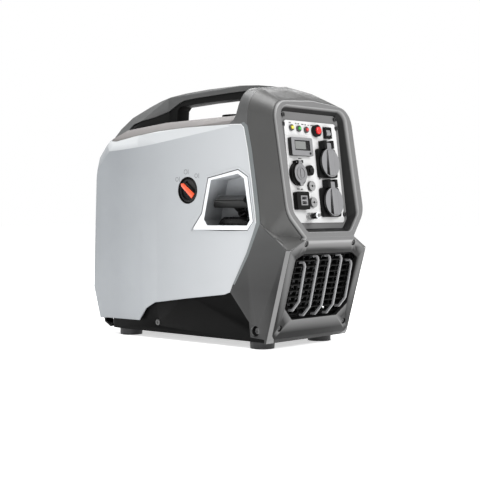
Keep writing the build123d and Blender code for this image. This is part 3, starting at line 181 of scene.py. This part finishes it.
def blend_in(material, other, source, start, end):
    """Mixes another colour into a material's own, more of it as a value goes from start to end."""
    n, links = material.node_tree.nodes, material.node_tree.links
    base = n["Principled BSDF"].inputs["Base Color"]
    share = n.new("ShaderNodeMapRange")
    share.inputs["From Min"].default_value = start
    share.inputs["From Max"].default_value = end
    mix = n.new("ShaderNodeMix")
    mix.data_type = "RGBA"
    mix.inputs["B"].default_value = other + (1.0,)
    links.new(source, share.inputs["Value"])
    links.new(share.outputs["Result"], mix.inputs["Factor"])
    links.new(base.links[0].from_socket, mix.inputs["A"])
    links.new(mix.outputs["Result"], base)
    return material


def two_tone_and_painted_light(name, near, far, origin, normal, start, end, rough, specular=0.5):
    """Moulding whose colour changes along a plane's normal: painted light and shade in most uses, as the
    painted shade in the bezel's recess, and a sharp change to black low on the rear cover.
    """
    material = moulded(name, near, rough=rough, vary=0.04, grain=1500, bump=0.18, specular=specular)
    n, links = material.node_tree.nodes, material.node_tree.links
    coord = n.new("ShaderNodeTexCoord")
    offset = n.new("ShaderNodeVectorMath")
    offset.operation = "SUBTRACT"
    offset.inputs[1].default_value = origin
    links.new(coord.outputs["Object"], offset.inputs[0])
    return blend_in(material, far, dotted(n, links, offset.outputs["Vector"], normal), start, end)


def painted_light_by_facing(material, other, towards, start, end):
    """Adds another colour on the faces that look along a direction: painted light and shade by which way a
    face looks, as the lit fronts and shaded sides of the lids.
    """
    n, links = material.node_tree.nodes, material.node_tree.links
    coord = n.new("ShaderNodeTexCoord")
    return blend_in(material, other, dotted(n, links, coord.outputs["Normal"], towards), start, end)


X_AXIS, Z_AXIS = (1, 0, 0), (0, 0, 1)
BEZEL_LEAN = radians(9.7)
BEZEL_OUT = (cos(BEZEL_LEAN), 0, sin(BEZEL_LEAN))
PLATE_OUT = tuple(OUT)

M = {
    # silver: lighter towards the front along x, and lighter again on faces that look up: a painted reflection
    # and a painted highlight on the top chamfer, over the lacquer's own grey
    "silver": painted_light_by_facing(two_tone_and_painted_light("silver_lacquer_painted_light", (0.255, 0.27, 0.285), (0.44, 0.455, 0.47),
                              origin=(-0.22, 0, 0), normal=X_AXIS, start=0.05, end=0.36, rough=0.42),
                     (0.53, 0.545, 0.555), towards=Z_AXIS, start=0.12, end=0.30),
    "rear": two_tone_and_painted_light("rear_lacquer", (0.26, 0.275, 0.29), grey(0.003), origin=(0, 0, 0.031), normal=Z_AXIS,
                     start=0.0005, end=-0.0005, rough=0.42),
    "tray": moulded("tray_black", grey(0.0022), rough=0.45, vary=0.12, grain=1400, bump=0.2, specular=0.06),
    "insert": moulded("grip_insert", (0.035, 0.036, 0.037), rough=0.3, vary=0.08, grain=1400, bump=0.08,
                      specular=0.4),
    "dark_shell": moulded("dark_moulding", (0.055, 0.055, 0.054), rough=0.4, vary=0.05, grain=1500,
                          bump=0.22, specular=0.4),
    "grey_shell": moulded("grey_moulding", (0.075, 0.077, 0.077), rough=0.45, vary=0.05, grain=1500,
                          bump=0.2),
    # frame: darker towards the bottom below z 0.21 m, a painted shade, and lighter grey on faces that look
    # forward, a painted light
    "frame": painted_light_by_facing(two_tone_and_painted_light("frame_moulding_painted_light", (0.066, 0.067, 0.067), grey(0.006), origin=(0, 0, 0.2),
                             normal=Z_AXIS, start=0.01, end=-0.10, rough=0.42), grey(0.15), towards=X_AXIS,
                    start=0.35, end=0.5),
    # bezel: near black behind the bezel's face, painted shade in its recess; and a darker grey on faces that
    # look straight out, painted shade that leaves the rounded ring lighter
    "bezel": painted_light_by_facing(two_tone_and_painted_light("bezel_moulding_painted_shade", grey(0.25), grey(0.012), origin=(0.2323, 0, 0.3),
                             normal=BEZEL_OUT, start=-0.0015, end=-0.006, rough=0.45, specular=0.15),
                    grey(0.145), towards=PLATE_OUT, start=0.9, end=0.97),
    "black_shell": moulded("black_moulding", grey(0.003), rough=0.5, vary=0.12, grain=1400, bump=0.2,
                           specular=0.16),
    # jacks: near black on all but their faces that look out, painted shade on the sides of a grey jack
    "jack": painted_light_by_facing(moulded("jack_face_painted_shade", grey(0.008), rough=0.4, vary=0.05, grain=1500, bump=0.1),
                   grey(0.24), towards=PLATE_OUT, start=0.6, end=0.9),
    "screw": moulded("dark_screw", grey(0.10), rough=0.3, vary=0.1, grain=900, bump=0.1, metallic=0.9),
    "louvre": moulded("louvre_black", grey(0.003), rough=0.6, vary=0.1, grain=1400, bump=0.1, specular=0.15),
    "ink": moulded("printed_ink", grey(0.05), rough=0.5, vary=0.1, grain=1500, bump=0.02),
    "lcd": moulded("lcd_glass", (0.17, 0.175, 0.17), rough=0.2, vary=0.06, grain=900, bump=0.02, coat=0.5),
    "black_gloss": moulded("black_polished", (0.004, 0.004, 0.0042), rough=0.28, vary=0.1, grain=900,
                           bump=0.05, specular=0.35),
    "grip": moulded("grip_rubber", (0.004, 0.0042, 0.004), rough=0.55, vary=0.15, grain=900, bump=0.3,
                    specular=0.16),
    "rubber": moulded("foot_rubber", (0.012, 0.012, 0.013), rough=0.45, vary=0.2, grain=700, bump=0.3,
                      specular=0.4),
    "white_trim": moulded("white_trim", (0.74, 0.76, 0.78), rough=0.25, vary=0.02, grain=2500, bump=0.04,
                          coat=0.4),
    # pocket: darker towards the bottom below about z 0.27 m, painted shade deep in the pocket behind the grip
    "pocket": two_tone_and_painted_light("pocket_moulding_painted_shade", (0.40, 0.415, 0.435), (0.12, 0.125, 0.13), origin=(0, 0, 0.262),
                       normal=Z_AXIS, start=0.03, end=-0.015, rough=0.4),
    # rim: a lighter grey strip on the frame's flat side, painted light for a band that faces the light
    # differently
    "rim": moulded("frame_rim_painted_light", (0.137, 0.150, 0.153), rough=0.42, vary=0.04, grain=1500, bump=0.1),
    # edge: a pale strip along the silver panel's front, a painted highlight on its rounded edge
    "edge": moulded("panel_edge_painted_highlight", (0.66, 0.67, 0.68), rough=0.35, vary=0.03, grain=2500, bump=0.05),
    "mark": moulded("switch_mark", (0.17, 0.175, 0.18), rough=0.5, vary=0.05, grain=1500, bump=0.02),
    # starter grip: black, with a lighter grey on faces that look up, a painted highlight on its top
    "starter_grip": painted_light_by_facing(moulded("starter_grip", (0.006, 0.0062, 0.006), rough=0.4, vary=0.1, grain=900,
                                   bump=0.12, specular=0.25), (0.15, 0.15, 0.152), towards=Z_AXIS, start=0.6,
                           end=0.9),
    "faceplate": moulded("panel_paint", grey(0.62), rough=0.4, vary=0.02, grain=3500, bump=0.06,
                         metallic=0.1),
    "lid_grey": moulded("lid_grey", (0.20, 0.20, 0.205), rough=0.4, vary=0.04, grain=1800, bump=0.1),
    # lids and meter housing: near black except on faces that look out, painted shade on their sides beside
    # the lit fronts
    "lid": painted_light_by_facing(moulded("lid_moulding_painted_light", grey(0.012), rough=0.4, vary=0.04, grain=1800, bump=0.1,
                          specular=0.3), (0.185, 0.185, 0.19), towards=PLATE_OUT, start=0.55, end=0.85),
    "top_strip": moulded("top_strip", (0.175, 0.165, 0.161), rough=0.45, vary=0.04, grain=1500, bump=0.18),
    "steel": brushed("zinc_plate", grey(0.50), rough=0.28),
    "aluminium": moulded("cast_aluminium", (0.52, 0.52, 0.53), rough=0.45, vary=0.06, grain=500, bump=0.35,
                         metallic=1.0),
    "cast": moulded("cast_iron", (0.16, 0.16, 0.165), rough=0.6, vary=0.1, grain=400, bump=0.5,
                    metallic=1.0),
    "red": moulded("red_button", (0.62, 0.015, 0.015), rough=0.25, vary=0.05, grain=900, bump=0.03,
                   coat=0.5),
    "orange": moulded("orange_pointer", (0.80, 0.085, 0.022), rough=0.35, vary=0.05, grain=1200, bump=0.06,
                      coat=0.3),
    "rope": moulded("starter_rope", grey(0.02), rough=0.85, vary=0.3, grain=900, bump=0.8),
    "winding": moulded("copper_winding", (0.55, 0.22, 0.09), rough=0.35, vary=0.15, grain=600, bump=0.6,
                       metallic=1.0),
    "tank": moulded("tank_plastic", grey(0.02), rough=0.5, vary=0.1, grain=800, bump=0.2),
    "led": lens("led_lens", (0.75, 0.62, 0.06)),
    "led_green": lens("led_green", (0.04, 0.36, 0.06)),
    "led_red": lens("led_red", (0.50, 0.02, 0.02)),
}
# nodes whose finish differs from their record slot's
OWN = {
    "front_panel": "bezel", "front_frame": "frame", "top_cover": "top_strip", "rear_cover": "rear",
    "base_tray": "tray", "grille_fins": "lid_grey", "louvre": "louvre", "recoil_pocket": "pocket",
    "recoil_grip": "starter_grip", "grip_insert": "insert", "case_screws": "screw", "led_holders": "screw",
    "meter_housing": "lid", "meter_display": "black_gloss", "parallel_jacks": "jack",
    "ground_nut": "black_gloss", "ac_lid_upper": "lid", "ac_lid_lower": "lid", "dc_lid": "lid",
    "eco_rocker": "lid_grey", "inverter": "cast",
}
slot_of = {s["node"]: s["material_slot"] for s in frame["record"]["subparts"]}

# ---------------------------------------------------------------- softened edges on the CAD pieces
EDGE = {"hood": 1.6, "front_frame": 1.0, "front_panel": 0.9, "left_side_panel": 0.7,
        "handle_shell": 2.2, "handle_grip": 1.4, "recoil_grip": 1.6, "recoil_trim": 0.9, "top_cover": 0.6,
        "base_tray": 0.8, "grille_fins": 0.8, "rubber_feet": 1.2, "fuel_cap": 0.9}  # width in mm
USUAL_EDGE = 0.4
SHARP = {"left_side_panel": 7.0, "top_cover": 7.0}  # least angle of a softened edge, in degrees
USUAL_SHARP = 24.0
FLAT = ("faceplate", "service_cover", "recoil_trim", "meter_housing", "usb_housing")  # kept flat-shaded
PLAIN = ("right_side_panel", "rear_cover")  # left with the shading and edges of the CAD
REAR_SLOPE = -0.062  # the left side panel is curved behind this x
WELD_REACH = 0.00002


def smooth_group(name, before_x):
    """Geometry nodes that shade a mesh smooth without changing it, where x is less than a limit."""
    group = bpy.data.node_groups.new(name, "GeometryNodeTree")
    group.interface.new_socket("Geometry", in_out="INPUT", socket_type="NodeSocketGeometry")
    group.interface.new_socket("Geometry", in_out="OUTPUT", socket_type="NodeSocketGeometry")
    entry = group.nodes.new("NodeGroupInput")
    smooth = group.nodes.new("GeometryNodeSetShadeSmooth")
    leave = group.nodes.new("NodeGroupOutput")
    place = group.nodes.new("GeometryNodeInputPosition")
    split = group.nodes.new("ShaderNodeSeparateXYZ")
    compare = group.nodes.new("FunctionNodeCompare")
    compare.operation = "LESS_THAN"
    compare.inputs["B"].default_value = before_x
    group.links.new(place.outputs[0], split.inputs[0])
    group.links.new(split.outputs["X"], compare.inputs["A"])
    group.links.new(compare.outputs[0], smooth.inputs["Selection"])
    group.links.new(entry.outputs[0], smooth.inputs[0])
    group.links.new(smooth.outputs[0], leave.inputs[0])
    return group


SMOOTH = smooth_group("smooth", 1.0)
SMOOTH_REAR = smooth_group("smooth_rear", REAR_SLOPE)


def soften(obj, width, angle):
    """Rounds a CAD piece's edges by a width in mm, where its faces meet at more than an angle in degrees."""
    if obj.name not in FLAT:
        shade = obj.modifiers.new("smooth", "NODES")
        shade.node_group = SMOOTH_REAR if obj.name == "left_side_panel" else SMOOTH
    weld = obj.modifiers.new("weld", "WELD")
    weld.merge_threshold = WELD_REACH
    bevel = obj.modifiers.new("edges", "BEVEL")
    bevel.width = width / MM
    bevel.segments = 3
    bevel.limit_method = "ANGLE"
    bevel.angle_limit = radians(angle)
    bevel.use_clamp_overlap = True
    bevel.harden_normals = True


for name, obj in nodes.items():
    obj.data.materials.clear()
    obj.data.materials.append(M[OWN.get(name, slot_of[name])])
    if name not in PLAIN:
        soften(obj, EDGE.get(name, USUAL_EDGE), SHARP.get(name, USUAL_SHARP))

# ---------------------------------------------------------------- small pieces made here
def turn(steps):
    """The angles of a full turn in equal steps."""
    return [2 * pi * i / steps for i in range(steps)]


def piece(name, form, material, body, bevel=0.0, segments=2):
    """A mesh piece that rides on a CAD body and takes its finish from the material table."""
    bmesh.ops.remove_doubles(form, verts=form.verts, dist=1e-6)
    bmesh.ops.recalc_face_normals(form, faces=form.faces)
    mesh = bpy.data.meshes.new(name)
    form.to_mesh(mesh)
    form.free()
    obj = bpy.data.objects.new(name, mesh)
    scene.collection.objects.link(obj)
    mesh.materials.append(M[material])
    if bevel:
        edges = obj.modifiers.new("edges", "BEVEL")
        edges.width = bevel / MM
        edges.segments = segments
        edges.limit_method = "ANGLE"
        edges.angle_limit = radians(30)
    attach(obj, body)
    return obj


def add_slab(form, points, depth):
    """Adds a flat outline to a mesh, thickened along a vector."""
    low = [form.verts.new(p) for p in points]
    high = [form.verts.new(p + depth) for p in points]
    count = len(points)
    form.faces.new(low[::-1])
    form.faces.new(high)
    for i in range(count):
        form.faces.new((low[i], low[(i + 1) % count], high[(i + 1) % count], high[i]))


def add_ring(form, outer, inner, depth):
    """Adds a closed band between two outlines with the same number of points, thickened along a vector."""
    low_out, low_in = [[form.verts.new(p) for p in line] for line in (outer, inner)]
    high_out, high_in = [[form.verts.new(p + depth) for p in line] for line in (outer, inner)]
    count = len(outer)
    for i in range(count):
        j = (i + 1) % count
        form.faces.new((low_out[i], low_in[i], low_in[j], low_out[j]))
        form.faces.new((high_out[i], high_out[j], high_in[j], high_in[i]))
        form.faces.new((low_out[i], low_out[j], high_out[j], high_out[i]))
        form.faces.new((low_in[j], low_in[i], high_in[i], high_in[j]))


SIDE_FACE_Y = -110  # the flat of the silver side with the recoil starter, in mm


def on_side(x, z, out=0.0):
    """A point on the silver side, in mm, out beyond its flat face."""
    return Vector((x, SIDE_FACE_Y - out, z)) / MM


def plate_rect(y, z, width, height, rise):
    """The corners of a rectangle on the faceplate, round its centre."""
    corners = ((-1, -1), (1, -1), (1, 1), (-1, 1))
    return [on_plate(y + a * width / 2, z + b * height / 2, rise) for a, b in corners]


def plate_circle(y, z, rise, radius, steps):
    """Points round a circle that lies parallel to the faceplate."""
    return [on_plate(y, z, rise) + (SIDE * cos(t) + UP * sin(t)) * (radius / MM) for t in turn(steps)]


DOME_RINGS, DOME_STEPS = 6, 28


def dome(form, y, z, radius, foot, height):
    """Adds a round-topped lens that stands on the faceplate."""
    rows = [(radius, foot)]
    rows += [(radius * cos(pi / 2 * k / DOME_RINGS), foot + height * sin(pi / 2 * k / DOME_RINGS))
             for k in range(1, DOME_RINGS)]
    loops = [[form.verts.new(p) for p in plate_circle(y, z, rise, r, DOME_STEPS)] for r, rise in rows]
    for a, b in zip(loops, loops[1:]):
        for i in range(DOME_STEPS):
            form.faces.new((a[i], a[(i + 1) % DOME_STEPS], b[(i + 1) % DOME_STEPS], b[i]))
    tip = form.verts.new(on_plate(y, z, foot + height))
    for i in range(DOME_STEPS):
        form.faces.new((loops[-1][i], loops[-1][(i + 1) % DOME_STEPS], tip))
    form.faces.new(loops[0][::-1])


PLATE_FILM = OUT * 0.00025  # the thickness of the print, the readout and the painted rib shadows laid on the control panel
SIDE_FILM = Vector((0, -0.0001, 0))  # and of the print and the painted lighter rim laid on the silver side

# three indicator lenses, by their places on the faceplate
LENS_RADIUS, LENS_FOOT, LENS_HEIGHT = 3.3, 2.6, 4.6
LENSES = (("led_yellow", (-54.6, 374.6), "led"), ("led_green", (-35.2, 373.7), "led_green"),
          ("led_red", (-14.8, 372.8), "led_red"))
for name, place, material in LENSES:
    form = bmesh.new()
    dome(form, *place, LENS_RADIUS, LENS_FOOT, LENS_HEIGHT)
    lens_piece = piece(name, form, material, "casing")
    for face in lens_piece.data.polygons:
        face.use_smooth = True
    if name == "led_yellow":
        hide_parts("indicator_leds")

# small printed captions: plain bars in place of words, as y, z and the number of bars in each
CAPTIONS = [(-56, 383.2, 5), (-40, 382.6, 4), (-33, 382.4, 5), (-22, 382, 6), (-14, 381.8, 4), (-6, 381.4, 3),
            (4, 381.5, 9), (14, 381.2, 5), (36, 380.5, 4), (42, 380.3, 4), (50, 380, 6), (-38, 322.5, 9),
            (-50, 271, 7), (-41, 270.7, 6), (26, 349, 6), (12, 289.5, 5)]
BAR_WIDTH, TALL_BAR, SHORT_BAR, BAR_RISE = 0.62, 1.9, 1.4, 0.02
form = bmesh.new()
for y, z, bars in CAPTIONS:
    for bar in range(bars):
        height = SHORT_BAR if bar % 3 == 1 else TALL_BAR
        add_slab(form, plate_rect(y - bars / 2 + bar + 0.3, z, BAR_WIDTH, height, BAR_RISE), PLATE_FILM)
piece("panel_captions", form, "ink", "casing")

# meter glass with its pale readout
form = bmesh.new()
add_slab(form, plate_rect(-42.3, 344.2, 28, 13, 7.55), PLATE_FILM)
piece("meter_readout", form, "lcd", "casing")

# dark wedges beside the ribs of the two round lids: painted shadow cast by each rib
LID_Y, LID_FACE = 31, 13.02
RIB_SHADOW = ((-8.6, 20), (-13.5, -19.5), (-7.3, -22))
for name, body, z in (("upper_lid_flute", "upper_lid", 316.0), ("lower_lid_flute", "lower_lid", 248.4)):
    form = bmesh.new()
    add_slab(form, [on_plate(LID_Y + a, z + b, LID_FACE) for a, b in RIB_SHADOW], PLATE_FILM)
    piece(name, form, "black_shell", body)

# white collar at the end of the earth nut
NUT_END = (-29, 224, 19.2)
form = bmesh.new()
add_ring(form, plate_circle(*NUT_END, 5.2, 32), plate_circle(*NUT_END, 3.2, 32), OUT * 0.0022)
piece("earth_nut_collar", form, "white_trim", "earth_nut", 0.4)

# raised border round the recoil starter's white trim, and the dark joint between them, as x and z
BORDER = [(24.4, 200.7), (25.7, 209.7), (48.4, 240), (62.5, 294.5), (137.5, 308.3), (163, 293.7),
          (175, 216.1), (161, 198.2)]
JOINT = [(29.9, 199.6), (29.9, 204.7), (51.4, 230.5), (66.4, 291.9), (137.4, 305.1), (160, 292.2),
         (172.5, 215.8), (158.8, 200.2)]
TRIM = [(31.9, 200.9), (31.9, 203.9), (53.2, 229.6), (68.1, 290.3), (137.3, 303.2), (158.5, 291.1),
        (170.7, 216), (158.1, 201.7)]
SUNK, ON_FACE = -0.2, 0.02  # how far out from the side's face a piece starts, in mm
form = bmesh.new()
add_ring(form, [on_side(x, z, SUNK) for x, z in BORDER], [on_side(x, z, SUNK) for x, z in JOINT],
         Vector((0, -0.0014, 0)))
piece("starter_border", form, "silver", "casing", 0.9, 3)
form = bmesh.new()
add_ring(form, [on_side(x, z, ON_FACE) for x, z in JOINT], [on_side(x, z, ON_FACE) for x, z in TRIM],
         SIDE_FILM)
piece("starter_joint", form, "ink", "casing")

# pale strip round the front of the silver panel: a painted highlight on its rounded edge
FRONT_EDGE = [(118, 382.2), (144, 381.3), (150.8, 375.2), (159.8, 336), (169.8, 277.1), (175.8, 233),
              (177.8, 213.8)]
PALE_EDGE = [(118, 380.6), (143.2, 379.7), (149.3, 374.2), (158.2, 335.7), (168.2, 276.8), (174.2, 232.8),
             (176.1, 213.9)]
form = bmesh.new()
add_slab(form, [on_side(x, z, ON_FACE) for x, z in FRONT_EDGE + PALE_EDGE[::-1]], Vector((0, -0.0004, 0)))
piece("panel_edge_painted_highlight", form, "edge", "casing", 0.2)

# the frame's rim beside it, on the frame's flat side: a lighter grey strip, painted light for a band that
# faces the light differently
RIM_REAR = [(144.6, 381.9), (151.7, 375.4), (160.7, 336), (170.7, 277.1), (176.7, 233), (178.7, 213.8),
            (170.7, 193.5), (156.7, 161.5), (126.5, 109)]
RIM_FRONT = [(151, 384), (159.5, 377), (169, 337), (179, 278), (185.5, 233), (187, 213),
             (176, 190.5), (161, 158.5), (130, 108)]
FRAME_OUT = 1.02
form = bmesh.new()
add_slab(form, [on_side(x, z, FRAME_OUT) for x, z in RIM_REAR + RIM_FRONT[::-1]], SIDE_FILM)
piece("frame_rim_painted_light", form, "rim", "casing")

# dark sheet on the handle's rear slope, on the slope's centre line: painted shadow standing for the shade
# inside a slot
SLOPE_LOW, SLOPE_HIGH = (-182, 423), (-164, 433.4)
SLOT_Y, SLOT_HALF, SLOT_RISE = -15, 3, 0.35
form = bmesh.new()
slope = [Vector((x, SLOT_Y + y, z + SLOT_RISE)) / MM
         for (x, z), y in ((SLOPE_LOW, -SLOT_HALF), (SLOPE_HIGH, -SLOT_HALF), (SLOPE_HIGH, SLOT_HALF),
                           (SLOPE_LOW, SLOT_HALF))]
add_slab(form, slope, Vector((-0.0002, 0, 0.0004)))
piece("handle_slot_painted_shadow", form, "tray", "casing")

# plain marks round the engine switch: a ring and a bar at each stop
KNOB_X, KNOB_Z, MARK_REACH = 16.8, 270.4, 33
MARK_LINE, BAR_NEAR, BAR_FAR, BAR_HALF = 1.1, 5.8, 7.1, 4.2
BAR_CORNERS = ((BAR_NEAR, -BAR_HALF), (BAR_FAR, -BAR_HALF), (BAR_FAR, BAR_HALF), (BAR_NEAR, BAR_HALF))


def side_circle(x, z, radius):
    return [on_side(x + radius * cos(t), z + radius * sin(t), ON_FACE) for t in turn(32)]


form = bmesh.new()
for angle, size in ((143, 4.0), (98, 4.4), (50, 4.0)):
    x, z = KNOB_X + MARK_REACH * cos(radians(angle)), KNOB_Z + MARK_REACH * sin(radians(angle))
    add_ring(form, side_circle(x, z, size), side_circle(x, z, size - MARK_LINE), SIDE_FILM)
    add_slab(form, [on_side(x + a, z + b, 0.03) for a, b in BAR_CORNERS], SIDE_FILM)
piece("switch_marks", form, "mark", "casing")

# ---------------------------------------------------------------- camera, light and floor
CAMERA_PLACE = (1.3818, -1.4973, 0.2339)
CAMERA_AZIMUTH, CAMERA_PITCH = radians(41.8), radians(-1.517)
camera = bpy.data.objects.new("camera", bpy.data.cameras.new("camera"))
scene.collection.objects.link(camera)
camera.location = CAMERA_PLACE
ahead = Vector((-sin(CAMERA_AZIMUTH) * cos(CAMERA_PITCH), cos(CAMERA_AZIMUTH) * cos(CAMERA_PITCH),
                sin(CAMERA_PITCH)))
camera.rotation_euler = ahead.to_track_quat("-Z", "Y").to_euler()
camera.data.lens = 82.3
camera.data.sensor_width = 36
camera.data.clip_start = 0.05
scene.camera = camera

# white where the camera sees it, and half as bright as a light
WORLD_LIGHT = 0.5
world = bpy.data.worlds.new("studio")
world.use_nodes = True
scene.world = world
n, links = world.node_tree.nodes, world.node_tree.links
background = n["Background"]
background.inputs["Color"].default_value = (1, 1, 1, 1)
background.inputs["Strength"].default_value = WORLD_LIGHT
seen = n.new("ShaderNodeBackground")
seen.inputs["Color"].default_value = (1, 1, 1, 1)
path = n.new("ShaderNodeLightPath")
choose = n.new("ShaderNodeMixShader")
links.new(path.outputs["Is Camera Ray"], choose.inputs[0])
links.new(background.outputs[0], choose.inputs[1])
links.new(seen.outputs[0], choose.inputs[2])
links.new(choose.outputs[0], n["World Output"].inputs["Surface"])


def softbox(name, place, target, size, power):
    """A rectangular lamp that looks at a target; size in metres, power in watts."""
    data = bpy.data.lights.new(name, "AREA")
    data.shape = "RECTANGLE"
    data.size, data.size_y = size
    data.energy = power
    lamp = bpy.data.objects.new(name, data)
    scene.collection.objects.link(lamp)
    lamp.location = place
    lamp.rotation_euler = (Vector(target) - Vector(place)).to_track_quat("-Z", "Y").to_euler()


softbox("key", (2.6, 0.3, 1.9), (0.1, 0, 0.25), (1.2, 1.2), 55)
softbox("side_fill", (0.9, -2.6, 0.9), (0.1, 0, 0.2), (1.4, 1.2), 12)
softbox("overhead", (-0.1, -0.2, 2.2), (0, 0, 0.3), (2.6, 1.2), 60)
softbox("back", (-1.8, 1.6, 1.4), (0, 0, 0.2), (1.6, 1.2), 25)

FLOOR_HALF = 12
FLOOR_GLOW = 0.6
floor_mesh = bpy.data.meshes.new("floor")
form = bmesh.new()
bmesh.ops.create_grid(form, x_segments=4, y_segments=4, size=FLOOR_HALF)
form.to_mesh(floor_mesh)
form.free()
floor = bpy.data.objects.new("floor", floor_mesh)
scene.collection.objects.link(floor)
floor_material, n, links, bsdf = graph("pale_floor")
cloud = noise(n, links, 0.5, 2.0)
links.new(ramp(n, links, cloud.outputs["Fac"], tint(grey(0.88), 1), tint(grey(0.9), 1)).outputs["Color"],
          bsdf.inputs["Base Color"])
bsdf.inputs["Roughness"].default_value = 0.9
bsdf.inputs["Emission Color"].default_value = (1, 1, 1, 1)
bsdf.inputs["Emission Strength"].default_value = FLOOR_GLOW
floor_mesh.materials.append(floor_material)
scene.view_settings.view_transform = "Standard"
